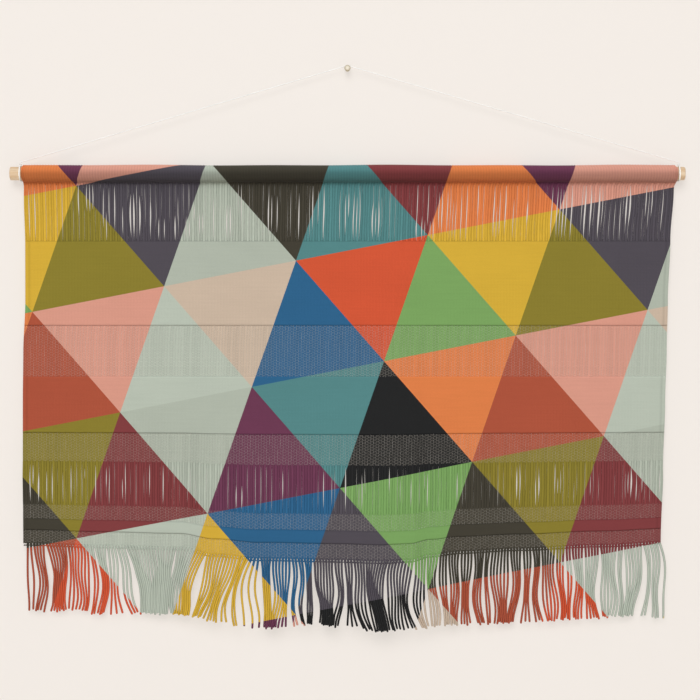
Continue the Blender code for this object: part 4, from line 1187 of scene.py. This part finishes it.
def stage_sheet(name, corners, finish):
    """A flat four-sided surface of the stage."""
    mesh = bpy.data.meshes.new(name)
    mesh.from_pydata(corners, [], [(0, 1, 2, 3)])
    mesh.materials.append(finish)
    sheet = bpy.data.objects.new(name, mesh)
    bpy.context.scene.collection.objects.link(sheet)


def make_stage():
    """A pale backdrop just behind the nail's back face, and a pale floor well below the fringe."""
    far, behind, low = 6.0, 1.0 * MM, -0.95
    corners = [(-far, behind, low), (far, behind, low), (far, behind, far), (-far, behind, far)]
    stage_sheet("backdrop", corners, plain_pale("backdrop paint", "9f9a96", 0.575, True))
    corners = [(-far, -far, low), (far, -far, low), (far, far, low), (-far, far, low)]
    stage_sheet("floor", corners, plain_pale("floor paint", "efe9e2", 0.0, False))


def area_light(name, location, target, size, power):
    """A round soft light at a place, turned towards its target."""
    lamp = bpy.data.lights.new(name, "AREA")
    lamp.shape = "DISK"
    lamp.size = size
    lamp.energy = power
    made = bpy.data.objects.new(name, lamp)
    made.location = location
    x, y, z = np.array(target) - np.array(location)
    made.rotation_euler = (math.atan2(math.hypot(x, y), -z), 0.0, math.atan2(y, x) - math.pi / 2)
    bpy.context.scene.collection.objects.link(made)


def make_light():
    """A broad soft key from above in front, a weak fill from below it, and an even pale surrounding."""
    middle = (0.0, 0.0, -0.25)
    area_light("key", (-0.4, -3.9, 2.0), middle, 2.8, 116.0)
    area_light("fill", (0.3, -3.4, -0.3), middle, 2.4, 11.0)
    world = bpy.data.worlds.new("surrounding")
    world.use_nodes = True
    sky = world.node_tree.nodes["Background"]
    sky.inputs["Color"].default_value = linear("faf8f6")
    sky.inputs["Strength"].default_value = 0.36
    bpy.context.scene.world = world


bpy.context.scene.view_settings.view_transform = "Standard"
make_camera()
PRINT = print_group()
COTTON = cotton_group()
WEAVE = weave_group()
undyed = cord_cotton()
hanging_cord(undyed)
hitch("left_hitch", HITCH_LEFT, "cord_hitch_left", undyed)
hitch("right_hitch", HITCH_RIGHT, "cord_hitch_right", undyed)
close_cloth = printed_cotton("printed plain weave", WEAVE, 0.35, {})
# The groove value is painted shade on the yarns' sides.
loose_yarn = printed_cotton("printed warp yarn", COTTON, 0.40, {"Ply length": 4.2 * MM, "Painted groove shade": 0.22})
gauze_yarn = printed_cotton("printed gauze yarn", COTTON, 0.35, {"Ply length": 3.4 * MM}, worn=0.015)
pocket(printed_cotton("printed pocket cloth", WEAVE, 0.3, {}))
# The number before each open warp's finish is its painted shadow under the upper end.
open_warp("upper_open_warp", POCKET_END, PLAIN_1, UPPER_SLITS, UPPER_SLIT_SHARE, 50, 0.12, loose_yarn)
# The last two numbers of each plain band are the painted shade, or painted highlight above 1, of its top and
# bottom edges.
plain_band("upper_plain_band", PLAIN_1, GAUZE_1, close_cloth, 0.72, 0.70)
gauze_band("upper_gauze_band", GAUZE_1, PLAIN_2, gauze_yarn)
plain_band("middle_plain_band", PLAIN_2, GAUZE_2, close_cloth, 1.12, 0.65)
gauze_band("middle_gauze_band", GAUZE_2, OPEN_2, gauze_yarn, gap=0.8 * MM)
open_warp("lower_open_warp", OPEN_2, GAUZE_3, LOWER_SLITS, LOWER_SLIT_SHARE, 30, 0.0, loose_yarn)
gauze_band("lower_gauze_band", GAUZE_3, PLAIN_3, gauze_yarn)
plain_band("lower_plain_band", PLAIN_3, GAUZE_4, close_cloth, 0.90, 0.65)
gauze_band("hem_gauze_band", GAUZE_4, HEM_DEPTH, gauze_yarn)
twined_row("hem_twining", HEM_DEPTH + 1.6 * MM, 0.9 * MM, gauze_yarn, "fringe_cotton", "fringe")
# The fringe's groove value is painted shade on the strands' sides.
fringe(printed_cotton("printed fringe yarn", COTTON, 0.18, {"Ply length": 4.2 * MM, "Painted groove shade": 0.52}))
pocket_stitches(undyed)
dowel(pale_wood())
nail(pale_brass())
make_stage()
make_light()
